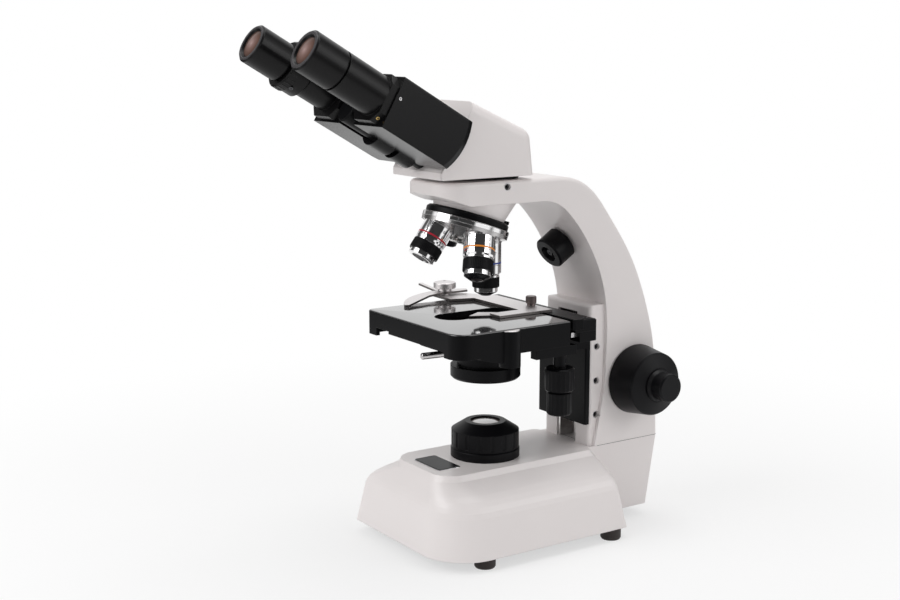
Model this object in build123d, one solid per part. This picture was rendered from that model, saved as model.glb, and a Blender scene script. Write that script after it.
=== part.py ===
from build123d import *
from math import atan2, cos, degrees, pi, radians, sin, tan
import os

os.makedirs("parts", exist_ok=True)

# A binocular compound microscope, in millimetres.
# The optical axis is the Z axis, the table is at Z = 0, the user sits at -Y and looks towards +Y.

# Clearances
seat_gap = 0.1       # flat faces of two bodies that rest on each other
pass_gap = 0.4       # faces that pass each other while something moves
running_gap = 0.05   # radial, a shaft in its bearing
fit_gap = 0.02       # radial, pieces that are pressed or screwed together

# Feet, base and pedestal
foot_height = 9.0
foot_radius = 8.0
foot_front = (56.0, -39.0)
foot_rear = (60.0, 78.0)
foot_screw_radius = 2.0
foot_screw_head_radius = 3.6
foot_screw_head = 3.0
foot_screw_recess = 1.5
foot_screw_length = 22.0
base_half_width = 68.0
base_front = -78.0
base_rear = 90.0
base_left_corner = 4.0
base_right_corner = 36.0
base_rear_corner = 5.0
ridge_rise = 38.0
ridge_inset = 6.5
ridge_round_below = 0.2   # share of the wall, and of the shoulder's slope, taken by the rounded ridge
ridge_round_above = 0.45
shoulder_rise = 52.5
shoulder_half_width = 39.0
shoulder_front = -64.5
shoulder_rear = 80.0
shoulder_corner = 20.0
deck_rise = 57.0
deck_inset = 2.5
base_wall = 4.0
base_plate_thickness = 2.5
base_plate_gap = 0.8
pedestal_back = 140.5
pedestal_front = 72.0
pedestal_top_wall = 8.0
pedestal_round = 3.0
boss_radius = 6.0

# Lamp
lamp_hole_radius = 13.0
lamp_body_radius = 17.0
lamp_body_height = 10.0
lamp_dome_radius = 5.0
collar_radius = 26.75
collar_height = 7.0
collar_sleeve_radius = 20.0
collar_sleeve_height = 11.0
cap_radius = 26.2
cap_flute_count = 16
cap_flute_radius = 2.2
cap_flute_depth = 0.7
cap_straight = 13.4
cap_top_radius = 16.0
lens_top = 93.4
lens_opening_radius = 11.5
lens_radius = 14.0
lens_edge = 2.5
cap_roof = 1.6
lens_rise = 1.4
inlet_radius = 6.0
inlet_height = 28.0
inlet_length = 18.0
inlet_socket_radius = 2.75
inlet_socket_depth = 9.0
inlet_pin_radius = 1.0

# Arm
arm_half_width = 31.0
arm_top = 281.3
arm_underside = 264.0
nose_front = -57.0
nose_lip = 272.0
nose_heel = -35.0
nose_corner = 20.0
arm_back = 150.0
arm_edge_round = 3.0
crown_start = 46.0
back_curve = ((95.0, 250.5), (120.0, 213.5), (139.0, 166.0))
back_straight_top = (147.5, 120.0)
throat_end = 30.0
throat_curve = ((57.0, 251.5), (81.0, 217.5), (94.5, 165.0), (93.5, 120.0))
throat_foot = 84.0
column_inset = 3.0
column_front = 80.0
column_top = 179.0
column_round = 3.0
channel_half_width = 12.0
channel_depth = 42.0
channel_top = 172.0
rail_thickness = 3.0
rail_depth = 12.0
set_screw_radius = 2.5
set_screw_recess = 2.0
set_screw_heights = (91.0, 118.4, 145.8)
set_screw_setback = 7.0
arm_bolt_radius = 3.0
arm_bolt_head_radius = 5.0
arm_bolt_head = 4.0
arm_bolt_grip = 14.0
arm_bolt_x = 20.0
arm_bolt_places = (104.0, 136.0)

# Focus drive
focus_y = 124.5
focus_z = 116.0
focus_module = 1.0
focus_teeth = 12
rack_teeth = 17
rack_width = 12.0
coarse_shaft_radius = 7.0
fine_shaft_radius = 3.5
fine_shaft_grip = 6.0
coarse_rear_radius = 28.0
coarse_rim_radius = 25.0
coarse_face_radius = 14.0
coarse_rim = 56.0
coarse_face = 59.5
fine_knob_radius = 11.25
fine_knob_end = 73.8
fine_knob_round = 1.2

# Stage carriage, in the column's channel
carriage_overhang = 2.0
carriage_front = 74.5
carriage_bottom = 84.5
carriage_top = 158.0
tongue_bottom = 87.0
tongue_top = 150.0
bracket_bottom = 146.0

# Stage
stage_top = 177.8
stage_depth = 18.6
stage_half_width = 62.5
stage_front = -68.0
stage_rear = 33.0
stage_left_corner = 4.0
stage_corner = 12.5
stage_plate = 5.0
stage_skirt = 3.2
stage_edge_round = 1.2
slot_half_width = 14.0
slot_front = -44.0
slot_rear = 24.0
boss_y = -20.7
boss_inset = 2.5
stage_boss_radius = 8.0
stage_boss_length = 26.5
stage_boss_drop = 1.3
gusset_length = 27.5
gusset_end = 1.2
notch_inner = -31.0
notch_outer = -49.0
notch_rise = 6.2
relief_end = 45.0
relief_rise = 4.2
slab_inset = 18.5
slab_thickness = 7.7
runner_height = 4.5
slab_front = -40.0
slab_rear = 57.5
slab_hole_radius = 26.0
beam_front = 42.0
runner_inset = 4.0
runner_width = 8.0
guide_drop = 0.5
guide_lip = 1.7
carrier_track = 45.3

# Slide holder, on its rack bar behind the stage plate
holder_lift = 0.3
holder_thickness = 2.0
holder_right = 27.0
holder_back = 43.5
jaw_front = -6.0
jaw_inner = 14.0
jaw_nose_length = 16.0
jaw_nose_width = 13.0
jaw_nose_root = 12.0
slide_back = 21.0
holder_left = -46.0
holder_bevel = 6.0
finger_pivot = (-72.5, 10.5)
finger_lift = 1.2
finger_tip = (-51.0, -39.0)
finger_bow = (-77.5, -12.0)
finger_elbow = (-67.0, -7.5)
finger_width = 9.0
finger_tip_width = 2.4
finger_thickness = 1.6
finger_bend = 5.0
finger_tail = 20.0
finger_tail_width = 6.0
lever_tip = (-99.0, 3.0)
lever_width = 4.0
lever_root = 9.5
lever_rise = 12.0
finger_knob_radius = 9.0
finger_knob_height = 8.2
finger_knob_boss = 2.2
finger_knob_boss_radius = 5.5
finger_knob_dome = 1.4
finger_knob_dimple = 1.5
finger_pin_radius = 2.5
thumbscrew_place = (4.3, 40.0)
thumbscrew_radius = 4.0
thumbscrew_height = 7.4
thumbscrew_neck = 1.3
thumbscrew_reach = 6.0
rack_bar_front = 37.7

# Coaxial stage knobs
xy_inset = 10.5
xy_y = 31.5
xy_module = 1.0
xy_teeth = 10
y_rack_teeth = 11
y_rack_front_teeth = 2
x_rack_teeth = 31
x_rack_right_teeth = 3
gear_case_front = 2.0
gear_case_rear = 39.5
gear_case_width = 22.0
gear_case_depth = 7.2
gear_case_toe = 7.0
gear_case_cut = 18.0
xy_edge = 0.5
y_knob_radius = 11.25
y_knob_drop = 11.0
y_knob_length = 17.6
x_knob_radius = 9.4
x_knob_length = 17.8
knob_parting = 0.6
y_shaft_radius = 4.9
x_shaft_radius = 2.0
y_rack_step = 1.2
x_pinion_lift = 1.0

# Condenser
carrier_front_y = -42.0
carrier_clearance = 3.5
carrier_thickness = 8.0
condenser_radius = 22.0
condenser_ring_radius = 27.0
condenser_ring_height = 10.0
condenser_ring_bevel = 1.6
condenser_drop = 6.8
condenser_length = 43.0
condenser_neck_radius = 17.0
condenser_neck_length = 7.0
condenser_lens_radius = 10.0
condenser_bore_radius = 13.0
condenser_cone = 8.0
iris_ring_radius = 26.0
iris_ring_height = 5.6
iris_rod_radius = 2.6
iris_rod_tip = (-5.5, -55.0)

# Nosepiece and objectives
turret_tilt = 18.4
port_circle = 22.45
shoulder_z = 232.3
turret_radius = 33.0
turret_top = 10.25
turret_rim = 3.4
port_seat_step = 0.6
mount_radius = 31.6
mount_thickness = 5.2
neck_radius = 27.0
neck_flare = 34.0
neck_length = 22.0
neck_limit = 272.0
pivot_radius = 5.0
pivot_head_radius = 9.0
pivot_head = 3.0
port_radius = 10.2
port_seat_radius = 12.2
thread_length = 4.0
light_bore_radius = 10.0
barrel_radius = 11.6
grip_wall = 1.2
plug_length = 8.0

# Head
head_half_width = 33.0
head_back = 22.5
head_back_top = (18.7, 316.5)
head_lip_y = -61.5
head_wall = 6.0
head_edge = 8.0
head_back_round = 10.0
head_brow = 277.5
prism_size = 20.0
cover_back = -55.5
cover_right = 31.2
cover_height = 20.0
cover_seam = 0.5
tube_tilt = 30.0
head_face = 198.0
dovetail_radius = 22.0
dovetail_depth = 8.0
seat_radius = 24.0
seat_height = 3.0
clamp_screw_y = -2.7
clamp_screw_z = 276.6

# Binocular: u runs along the tubes, w square to them, both from the origin
hinge_rise = 10.75   # above the lip of the head's front face
tube_x = 32.0
tube_lift = 10.9
hinge_radius = 9.5
hinge_bore_radius = 6.0
window_u = 252.0
window_radius = 4.0
hub_radius = 14.0
hub_length = 16.0
right_hub = 208.0
left_hub = 228.0
housing_inner = 10.0
housing_outer = 48.0
housing_below = 20.0
housing_above = 18.3
housing_rear_low = 204.4
housing_rear_high = 201.4
housing_rear_bow = 198.6
housing_front = 266.0
housing_wall = 3.0
housing_bevel = 4.2
housing_bevel_depth = 2.0
housing_round = 1.3
cavity_inner = 17.0
flange_thickness = 6.0
flange_inset = 1.5
flange_corner = 7.0
tube_radius = 15.0
ocular_bore_radius = 11.65
right_tube_end = 306.4
left_tube_end = 296.0
left_tube_radius = 14.0
left_sleeve_radius = 13.0
left_sleeve_end = 313.0
diopter_radius = 17.8
diopter_collar_radius = 17.0
diopter_collar_end = 307.0
diopter_end = 314.2
eyepiece_radius = 15.0
left_eyepiece_radius = 14.4
right_eyepiece_top = 334.9
left_eyepiece_top = 343.2
eyepiece_barrel = 24.0
eyepiece_eye_radius = 10.2
eyepiece_dish = 1.8
eyepiece_groove = 1.5
eyepiece_groove_length = 1.8
eyepiece_wall = 1.6
eye_lens_thickness = 3.0
eye_lens_rise = 1.2
dial_thickness = 5.0

# Brightness knob, on the arm's throat
knob_foot = (73.2, 226.8)
knob_fall = 33.0
knob_radius = 13.2
knob_length = 16.2
knob_hollow_radius = 7.0
knob_hollow = 3.0
knob_shaft_radius = 3.0
knob_shaft_length = 14.0
knob_stand_off = 0.6

# Heights and places that follow from the sizes above
base_bottom = foot_height
ridge_z = base_bottom + ridge_rise
shoulder_top = base_bottom + shoulder_rise
deck_z = base_bottom + deck_rise
column_half_width = arm_half_width - column_inset
carriage_half_width = column_half_width + carriage_overhang
pitch_radius = focus_module * focus_teeth / 2
rack_line = focus_y - pitch_radius
boss_x = stage_half_width - boss_inset
slab_half_width = stage_half_width - slab_inset
runner_outer = slab_half_width - runner_inset
runner_inner = runner_outer - runner_width
xy_place = (stage_half_width - xy_inset, xy_y)
gear_case_inner = stage_half_width - gear_case_width
carrier_half_width = gear_case_inner - carrier_clearance
stage_bottom = stage_top - stage_depth
stage_boss_top = stage_top - stage_boss_drop
stage_boss_bottom = stage_boss_top - stage_boss_length
guide_top = stage_top - guide_drop
slab_top = stage_top - stage_plate - runner_height - seat_gap
slab_bottom = slab_top - slab_thickness
y_pinion_top = slab_top - y_rack_step
y_rack_bottom = slab_bottom + pass_gap + seat_gap
x_pinion_bottom = slab_top + x_pinion_lift
x_pinion_top = stage_top - stage_plate - pass_gap
gear_case_bottom = stage_bottom - gear_case_depth
y_knob_top = gear_case_bottom - y_knob_drop
y_knob_bottom = y_knob_top - y_knob_length
x_knob_top = y_knob_bottom - knob_parting
x_knob_bottom = x_knob_top - x_knob_length
carrier_bottom = slab_bottom - carrier_thickness
condenser_top = stage_top - condenser_drop
condenser_neck = condenser_top - condenser_neck_length
condenser_ring_bottom = condenser_top - condenser_length
condenser_ring_top = condenser_ring_bottom + condenser_ring_height
iris_ring_top = carrier_bottom - pass_gap
iris_ring_bottom = iris_ring_top - iris_ring_height
holder_z = stage_top + holder_lift
holder_top = holder_z + holder_thickness
finger_z = holder_top + finger_lift
head_bottom = arm_top + seat_height
head_slope, head_rise = cos(radians(tube_tilt)), sin(radians(tube_tilt))
head_lip = (head_face + head_lip_y * head_slope) / head_rise
hinge_w = head_lip_y * head_rise + head_lip * head_slope + hinge_rise
tube_w = hinge_w + tube_lift
housing_low = tube_w - housing_below
housing_high = tube_w + housing_above
head_plane = Plane(origin=(0, 0, 0), x_dir=(1, 0, 0), z_dir=(0, -head_slope, head_rise))
turret_axis = (0, -sin(radians(turret_tilt)), -cos(radians(turret_tilt)))
turret_centre = (0, -port_circle * cos(radians(turret_tilt)),
                 shoulder_z + port_circle * sin(radians(turret_tilt)))
turret_plane = Plane(origin=turret_centre, x_dir=(1, 0, 0), z_dir=turret_axis)
knob_plane = Plane(origin=(0, knob_foot[0], knob_foot[1]), x_dir=(1, 0, 0),
                   z_dir=(0, -cos(radians(knob_fall)), -sin(radians(knob_fall))))


def turned(*profile):
    """Solid of revolution about Z through (radius, height) points."""
    return revolve(Plane.XZ * Polygon(*profile, align=None), Axis.Z)


def rod(radius, low, high):
    """Upright cylinder between two heights."""
    return Pos(0, 0, low) * Cylinder(radius, high - low, align=(Align.CENTER, Align.CENTER, Align.MIN))


def tube(outer, inner, low, high):
    """Upright ring between two heights."""
    return rod(outer, low, high) - rod(inner, low - 1, high + 1)


def block(x0, x1, y0, y1, z0, z1):
    """Box between two corners."""
    return Pos(x0, y0, z0) * Box(x1 - x0, y1 - y0, z1 - z0, align=(Align.MIN, Align.MIN, Align.MIN))


def cross_rod(radius, x0, x1, y, z):
    """Cylinder along X between two places."""
    return Pos(x0, y, z) * Rot(0, 90, 0) * rod(radius, 0, x1 - x0)


def slab(points, low, high):
    """Plate with a polygon outline, between two heights."""
    return Pos(0, 0, low) * extrude(Polygon(*points, align=None), high - low, dir=(0, 0, 1))


def dome(radius, low, rise):
    """Ball-shaped cap on a round edge."""
    ball = (radius ** 2 + rise ** 2) / (2 * rise)
    return Pos(0, 0, low + rise - ball) * Sphere(ball) & rod(radius, low, low + rise + 1)


def rounded_plan(half_width, front, rear, left_corner, right_corner, rear_corner):
    """Rectangle in plan with its own radius on the front left, the front right and the rear corners."""
    plan = Pos(0, (front + rear) / 2) * Rectangle(2 * half_width, rear - front)
    plan = fillet(plan.vertices().group_by(Axis.Y)[-1], rear_corner)
    plan = fillet(plan.vertices().group_by(Axis.Y)[0].sort_by(Axis.X)[:1], left_corner)
    return fillet(plan.vertices().group_by(Axis.Y)[0].sort_by(Axis.X)[-1:], right_corner)


def mirrored(shape):
    """The same shape on the other side of the object."""
    return mirror(shape, about=Plane.YZ)


def group(*shapes):
    """Separate solids that share one node."""
    return Compound(children=[solid for shape in shapes for solid in shape.solids()])


def gear(teeth, module, low, high):
    """Pinion with a tooth gap on its -Y side, thin teeth for running room."""
    pitch = module * teeth / 2
    root, tip = pitch - 1.25 * module, pitch + 0.8 * module
    step = 2 * pi / teeth
    points = []
    for index in range(teeth):
        middle = -pi / 2 + step * (index + 0.5)
        for radius, spread in ((root, -0.27), (tip, -0.11), (tip, 0.11), (root, 0.27)):
            angle = middle + spread * step
            points.append((radius * cos(angle), radius * sin(angle)))
    return Pos(0, 0, low) * extrude(Polygon(*points, align=None), high - low, dir=(0, 0, 1))


def rack(teeth, module, length_axis_low, back, low, high):
    """Rack along X with its pitch line on Y = 0, teeth towards +Y, and a tooth centred on X = 0."""
    step = pi * module
    points = [(length_axis_low * step - step / 2, back)]
    for index in range(length_axis_low, length_axis_low + teeth):
        middle = index * step
        for side, height in ((-0.33, -1.2), (-0.1, 0.8), (0.1, 0.8), (0.33, -1.2)):
            points.append((middle + side * step, height * module))
    points.append(((length_axis_low + teeth - 0.5) * step, back))
    return Pos(0, 0, low) * extrude(Polygon(*points, align=None), high - low, dir=(0, 0, 1))


# Base, feet and lamp

def between(one, other, share):
    """Level part of the way from one level to another."""
    return tuple(a + (b - a) * share for a, b in zip(one, other))


bottom_level = (base_bottom, base_half_width, base_front, base_rear,
                base_left_corner, base_right_corner, base_rear_corner)
ridge_level = (ridge_z, base_half_width - ridge_inset, base_front + ridge_inset, base_rear - ridge_inset,
               base_left_corner, base_right_corner - ridge_inset / 2, base_rear_corner)
shoulder_level = (shoulder_top, shoulder_half_width, shoulder_front, shoulder_rear,
                  shoulder_corner, shoulder_corner, base_rear_corner)
deck_level = (deck_z, shoulder_half_width - deck_inset,
              shoulder_front + deck_inset, shoulder_rear - deck_inset,
              shoulder_corner - deck_inset, shoulder_corner - deck_inset, base_rear_corner)


def inset_plan(level, inset):
    """Outline of one level, moved inwards."""
    _, half_width, front, rear, *corners = level
    return rounded_plan(half_width - inset, front + inset, rear - inset,
                        *[max(corner - inset, 1.0) for corner in corners])


def base_levels():
    """Outlines from the underside to the deck, the ridge rounded by a quadratic blend."""
    below = between(ridge_level, bottom_level, ridge_round_below)
    above = between(ridge_level, shoulder_level, ridge_round_above)
    ridge = []
    for share in (0, 0.25, 0.5, 0.75, 1):
        ridge.append(between(between(below, ridge_level, share), between(ridge_level, above, share), share))
    return [bottom_level, *ridge, shoulder_level, deck_level]


def base_form(inset):
    """The base's outer form, or its hollow when inset by the wall."""
    sections = []
    for level in base_levels():
        height = level[0] if level == bottom_level else level[0] - inset
        sections.append(Pos(0, 0, height) * inset_plan(level, inset))
    return loft(sections, ruled=True)


def pedestal_form(inset, top):
    """The block behind the base that carries the arm."""
    side = Polygon((pedestal_front, base_bottom), (pedestal_back - inset, base_bottom),
                   (arm_back - inset, deck_z - top), (pedestal_front, deck_z - top), align=None)
    return extrude(Plane.YZ * side, arm_half_width - inset, both=True)


def both_sides(place):
    """A place and its mirror image."""
    return [(place[0], place[1]), (-place[0], place[1])]


foot_places = both_sides(foot_front) + both_sides(foot_rear)
bolt_places = [(side * arm_bolt_x, y) for side in (-1, 1) for y in arm_bolt_places]
base_plate_top = base_bottom + base_plate_thickness


def base_shell():
    outer = base_form(0)
    foot = pedestal_form(0, 0)
    foot = fillet(foot.edges().sort_by(Axis.Y)[-3:-1], pedestal_round)
    shell = outer + foot
    hollow = base_form(base_wall) + pedestal_form(base_wall, pedestal_top_wall)
    bosses = Sketch() + [Pos(x, y) * Circle(boss_radius) for x, y in foot_places]
    pillars = Pos(0, 0, base_plate_top) * extrude(bosses, ridge_rise) & outer
    shell = shell - hollow + pillars
    shell -= rod(lamp_hole_radius, base_bottom, deck_z + 1)
    for x, y in foot_places:
        shell -= Pos(x, y, 0) * rod(foot_screw_radius + fit_gap, base_bottom, foot_screw_length + foot_height)
    for x, y in bolt_places:
        shell -= Pos(x, y, 0) * rod(arm_bolt_radius + running_gap, base_bottom, deck_z + 1)
    return shell - inlet_hole()


def inlet_hole():
    hole = rod(inlet_radius + running_gap, 0, inlet_length)
    return Pos(0, arm_back + 1, inlet_height) * Rot(90, 0, 0) * hole


def base_plate():
    inset = base_wall + base_plate_gap
    plan = inset_plan(bottom_level, inset)
    tail = Pos(0, (pedestal_front + pedestal_back - inset) / 2) * Rectangle(
        2 * (arm_half_width - inset), pedestal_back - inset - pedestal_front)
    plate = Pos(0, 0, base_bottom) * extrude(plan + tail, base_plate_thickness)
    for x, y in foot_places:
        plate -= Pos(x, y, 0) * rod(foot_screw_radius + running_gap, 0, base_plate_top + 1)
    return plate


def rubber_feet():
    seat = foot_screw_recess + foot_screw_head
    foot = turned((foot_screw_radius + running_gap, seat), (foot_screw_head_radius + pass_gap, seat),
                  (foot_screw_head_radius + pass_gap, 0), (foot_radius - 0.8, 0), (foot_radius, 1.2),
                  (foot_radius, foot_height), (foot_screw_radius + running_gap, foot_height))
    return group(*[Pos(x, y, 0) * foot for x, y in foot_places])


def foot_screws():
    head = foot_screw_recess + foot_screw_head
    screw = rod(foot_screw_head_radius, foot_screw_recess, head)
    screw += rod(foot_screw_radius, head, head + foot_screw_length)
    return group(*[Pos(x, y, 0) * screw for x, y in foot_places])


def lamp_module():
    """Heat sink against the deck's underside, with the lamp's dome in the hole above it."""
    under_deck = deck_z - base_wall
    return rod(lamp_body_radius, under_deck - lamp_body_height, under_deck) + turned(
        (0, under_deck), (lamp_dome_radius, under_deck), (lamp_dome_radius, deck_z - 2),
        (lamp_dome_radius / 2, deck_z), (0, deck_z))


def power_inlet():
    """Low-voltage socket in the pedestal's back, open to the rear with a pin in its middle."""
    body = rod(inlet_radius, 0, inlet_length)
    body -= tube(inlet_socket_radius, inlet_pin_radius, -1, inlet_socket_depth)
    back = pedestal_back + (arm_back - pedestal_back) * (inlet_height - base_bottom) / deck_rise
    return Pos(0, back + 1, inlet_height) * Rot(90, 0, 0) * body


def illuminator_collar():
    base = tube(collar_radius, lamp_hole_radius, deck_z, deck_z + collar_height)
    rim = base.edges().filter_by(GeomType.CIRCLE).group_by(Axis.Z)[-1].sort_by(SortBy.LENGTH)[-1:]
    base = chamfer(rim, 0.8)
    return base + tube(collar_sleeve_radius, lamp_hole_radius, deck_z + collar_height - 1,
                       deck_z + collar_height + collar_sleeve_height)


def collector_cap():
    """Fluted screw cap with a cone-shaped roof that holds the collector lens."""
    low = deck_z + collar_height + pass_gap
    shoulder = low + cap_straight
    sleeve = collar_sleeve_radius + running_gap
    cap = turned((sleeve, low), (cap_radius, low), (cap_radius, shoulder), (cap_top_radius, lens_top),
                 (lens_opening_radius, lens_top), (lens_opening_radius, lens_top - cap_roof),
                 (lens_radius + fit_gap, lens_top - cap_roof),
                 (lens_radius + fit_gap, lens_top - cap_roof - lens_edge), (sleeve, shoulder))
    flute = rod(cap_flute_radius, low + 1.5, shoulder)
    flute = Pos(cap_radius - cap_flute_depth + cap_flute_radius, 0, 0) * flute
    for index in range(cap_flute_count):
        cap -= Rot(0, 0, index * 360 / cap_flute_count) * flute
    return cap


def collector_lens():
    edge_top = lens_top - cap_roof
    lens = rod(lens_radius, edge_top - lens_edge, edge_top)
    return lens + dome(lens_opening_radius - pass_gap, edge_top, lens_rise)


# Arm, column and what is screwed into them


def arm_casting():
    """White casting: column, curved arm, nose with the head's socket, and the nosepiece's neck."""
    side = Line((nose_front, nose_lip), (nose_front, arm_top))
    side += Line((nose_front, arm_top), (crown_start, arm_top))
    side += Spline((crown_start, arm_top), *back_curve, back_straight_top, tangents=((1, 0), (0.1, -1)))
    side += Line(back_straight_top, (arm_back, deck_z))
    side += Line((arm_back, deck_z), (throat_foot, deck_z))
    side += Spline((throat_end, arm_underside), *throat_curve, (throat_foot, deck_z),
                   tangents=((1, 0), (-0.2, -1)))
    side += Line((throat_end, arm_underside), (nose_heel, arm_underside))
    side += Line((nose_heel, arm_underside), (nose_front, nose_lip))
    arm = extrude(Plane.YZ * make_face(side.edges()), arm_half_width, both=True)
    plan = rounded_plan(arm_half_width, nose_front, arm_back + nose_corner,
                        nose_corner, nose_corner, nose_corner)
    arm &= extrude(plan, arm_top + 1)
    outer = [edge for edge in arm.edges() if arm_round_edge(edge)]
    arm = fillet(outer, arm_edge_round)
    column = block(-column_half_width, column_half_width, column_front, column_front + channel_depth / 2,
                   deck_z, column_top)
    front = column.faces().sort_by(Axis.Y)[0].edges().sort_by(Axis.Z)[1:]
    arm += fillet(front, column_round)
    arm += nosepiece_neck()
    arm -= block(-channel_half_width, channel_half_width, column_front - 1, column_front + channel_depth,
                 deck_z - 1, channel_top)
    arm -= cross_rod(pitch_radius + 3, -channel_half_width, channel_half_width, focus_y, focus_z)
    arm -= cross_rod(coarse_shaft_radius + running_gap, -arm_half_width - 1, arm_half_width + 1,
                     focus_y, focus_z)
    arm -= rod(dovetail_radius + running_gap, arm_top - dovetail_depth - seat_gap, arm_top + 1)
    arm -= rod(light_bore_radius, shoulder_z, arm_top)
    screw = set_screw_radius + fit_gap
    arm -= cross_rod(screw, dovetail_radius, arm_half_width + 1, clamp_screw_y, clamp_screw_z)
    for height in set_screw_heights:
        arm -= cross_rod(screw, -arm_half_width, arm_half_width, column_front + set_screw_setback, height)
    for x, y in bolt_places:
        arm -= Pos(x, y, 0) * rod(arm_bolt_radius + fit_gap, deck_z - 1, deck_z + arm_bolt_grip + 1)
    return arm - knob_plane * rod(knob_shaft_radius + running_gap, -knob_shaft_length, knob_length)


def arm_round_edge(edge):
    """True for the edges round the top and down the back of the arm."""
    middle = edge.center()
    side = abs(middle.X) > arm_half_width - 0.1
    nose = middle.Y < nose_front + nose_corner and middle.Z > arm_top - 0.1
    back = middle.Y > back_curve[0][0] and middle.Z > deck_z + 1
    return nose or side and (back or middle.Z > arm_top - 0.1)


def nosepiece_neck():
    """Tapered boss under the nose, cut square to the nosepiece's tilted axis."""
    seat = -turret_top - pass_gap - mount_thickness
    neck = turned((0, seat), (neck_radius, seat), (neck_flare, seat - neck_length), (0, seat - neck_length))
    limit = block(-arm_half_width, arm_half_width, nose_front, throat_end, shoulder_z, neck_limit)
    return turret_plane * neck & limit


def arm_bolts():
    under = deck_z - pedestal_top_wall
    bolt = rod(arm_bolt_head_radius, under - arm_bolt_head, under)
    bolt += rod(arm_bolt_radius, under, deck_z + arm_bolt_grip)
    return group(*[Pos(x, y, 0) * bolt for x, y in bolt_places])


def guide_rails():
    rail = block(channel_half_width - rail_thickness, channel_half_width, column_front + 1,
                 column_front + 1 + rail_depth, deck_z, channel_top)
    return group(rail, mirrored(rail))


def hex_screw(length):
    """Socket set screw along Z, its socket at the far end."""
    socket = Pos(0, 0, length - 2) * extrude(RegularPolygon(set_screw_radius * 0.55, 6), 3)
    return rod(set_screw_radius, 0, length) - socket


def set_screws():
    """Screws that press the guide rails, and the one that clamps the head's dovetail."""
    length = column_half_width - set_screw_recess - channel_half_width
    screws = []
    for height in set_screw_heights:
        screw = Rot(0, 90, 0) * hex_screw(length)
        screw = Pos(channel_half_width, column_front + set_screw_setback, height) * screw
        screws += [screw, mirrored(screw)]
    start = dovetail_radius + running_gap
    clamp = hex_screw(arm_half_width - set_screw_recess - start)
    return group(*screws, Pos(start, clamp_screw_y, clamp_screw_z) * Rot(0, 90, 0) * clamp)


def brightness_knob():
    """Round hand knob with a hollow in its face, on a shaft in the arm."""
    knob = turned((0, -knob_shaft_length + 1), (knob_shaft_radius, -knob_shaft_length + 1),
                  (knob_shaft_radius, knob_stand_off), (knob_radius, knob_stand_off),
                  (knob_radius, knob_length - 1.2), (knob_radius - 1.2, knob_length),
                  (knob_hollow_radius, knob_length), (knob_hollow_radius - 1, knob_length - knob_hollow),
                  (0, knob_length - knob_hollow))
    return knob_plane * knob


# Focus drive


def focus_frame(shape):
    """Turns a shape made along Z so that it lies along X on the focus axis."""
    return Pos(0, focus_y, focus_z) * Rot(0, 90, 0) * shape


def coarse_shaft():
    """Hollow shaft with the pinion cut in its middle."""
    journal = channel_half_width
    shaft = rod(coarse_shaft_radius, journal, coarse_rim) + rod(coarse_shaft_radius, -coarse_rim, -journal)
    shaft += gear(focus_teeth, focus_module, -journal, journal)
    return focus_frame(shaft - rod(fine_shaft_radius + running_gap, -coarse_rim - 1, coarse_rim + 1))


def coarse_knobs():
    bore = coarse_shaft_radius + fit_gap
    start = arm_half_width + pass_gap
    fine_bore = fine_shaft_radius + running_gap
    knob = turned((bore, start), (coarse_rear_radius - 1, start), (coarse_rear_radius, start + 1),
                  (coarse_rim_radius, coarse_rim - 1), (coarse_rim_radius - 1, coarse_rim),
                  (coarse_face_radius, coarse_face), (fine_bore, coarse_face), (fine_bore, coarse_rim),
                  (bore, coarse_rim))
    knob = focus_frame(knob)
    return group(knob, mirrored(knob))


def fine_shaft():
    end = coarse_face + fine_shaft_grip
    return focus_frame(rod(fine_shaft_radius, -end, end))


def fine_knobs():
    bore = fine_shaft_radius + fit_gap
    start = coarse_face + pass_gap
    edge = fine_knob_round
    shaft_end = coarse_face + fine_shaft_grip + seat_gap
    knob = turned((0, shaft_end), (bore, shaft_end), (bore, start),
                  (fine_knob_radius + 1.5, start), (fine_knob_radius, start + 3),
                  (fine_knob_radius, fine_knob_end - edge), (fine_knob_radius - edge, fine_knob_end),
                  (0, fine_knob_end))
    knob = focus_frame(knob)
    return group(knob, mirrored(knob))


# Stage carriage and its rack


def rack_back():
    return rack_line - 1.2 * focus_module - 2.5


def stage_carriage():
    """Slide that the focus drive lifts: front plate, tongue in the channel, bracket for the stage."""
    back = column_front - pass_gap
    tongue = channel_half_width - rail_thickness - pass_gap
    plate = block(-carriage_half_width, carriage_half_width, carriage_front, back,
                  carriage_bottom, carriage_top)
    plate = chamfer(plate.edges().filter_by(Axis.Z), 1.0)
    body = plate + block(-tongue, tongue, carriage_front + 1, rack_back(), tongue_bottom, tongue_top)
    return body + block(-carriage_half_width, carriage_half_width, slab_rear, carriage_front + 1,
                        bracket_bottom, slab_top)


def focus_rack():
    """Brass rack on the tongue's back, in mesh with the coarse shaft's pinion."""
    low = -(rack_teeth // 2)
    teeth = rack(rack_teeth, focus_module, low, rack_back() - rack_line, -rack_width / 2, rack_width / 2)
    return Pos(0, rack_line, focus_z) * Rot(0, -90, 0) * teeth


# Stage


def stage_base():
    """Lower plate fixed to the carriage: beam at the rear, rack for the upper knob on its right edge."""
    plate = block(-slab_half_width, slab_half_width, slab_front, slab_rear, slab_bottom, slab_top)
    beam = block(-stage_half_width, stage_half_width, beam_front, slab_rear, slab_bottom, slab_top)
    line = xy_place[0] - xy_module * xy_teeth / 2
    bar = rack(y_rack_teeth, xy_module, -y_rack_front_teeth, slab_half_width - 1 - line,
               y_rack_bottom, y_pinion_top)
    bar = Pos(line, xy_place[1], 0) * Rot(0, 0, -90) * bar
    return plate + beam + bar - rod(slab_hole_radius, slab_bottom - 1, slab_top + 1)


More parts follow.
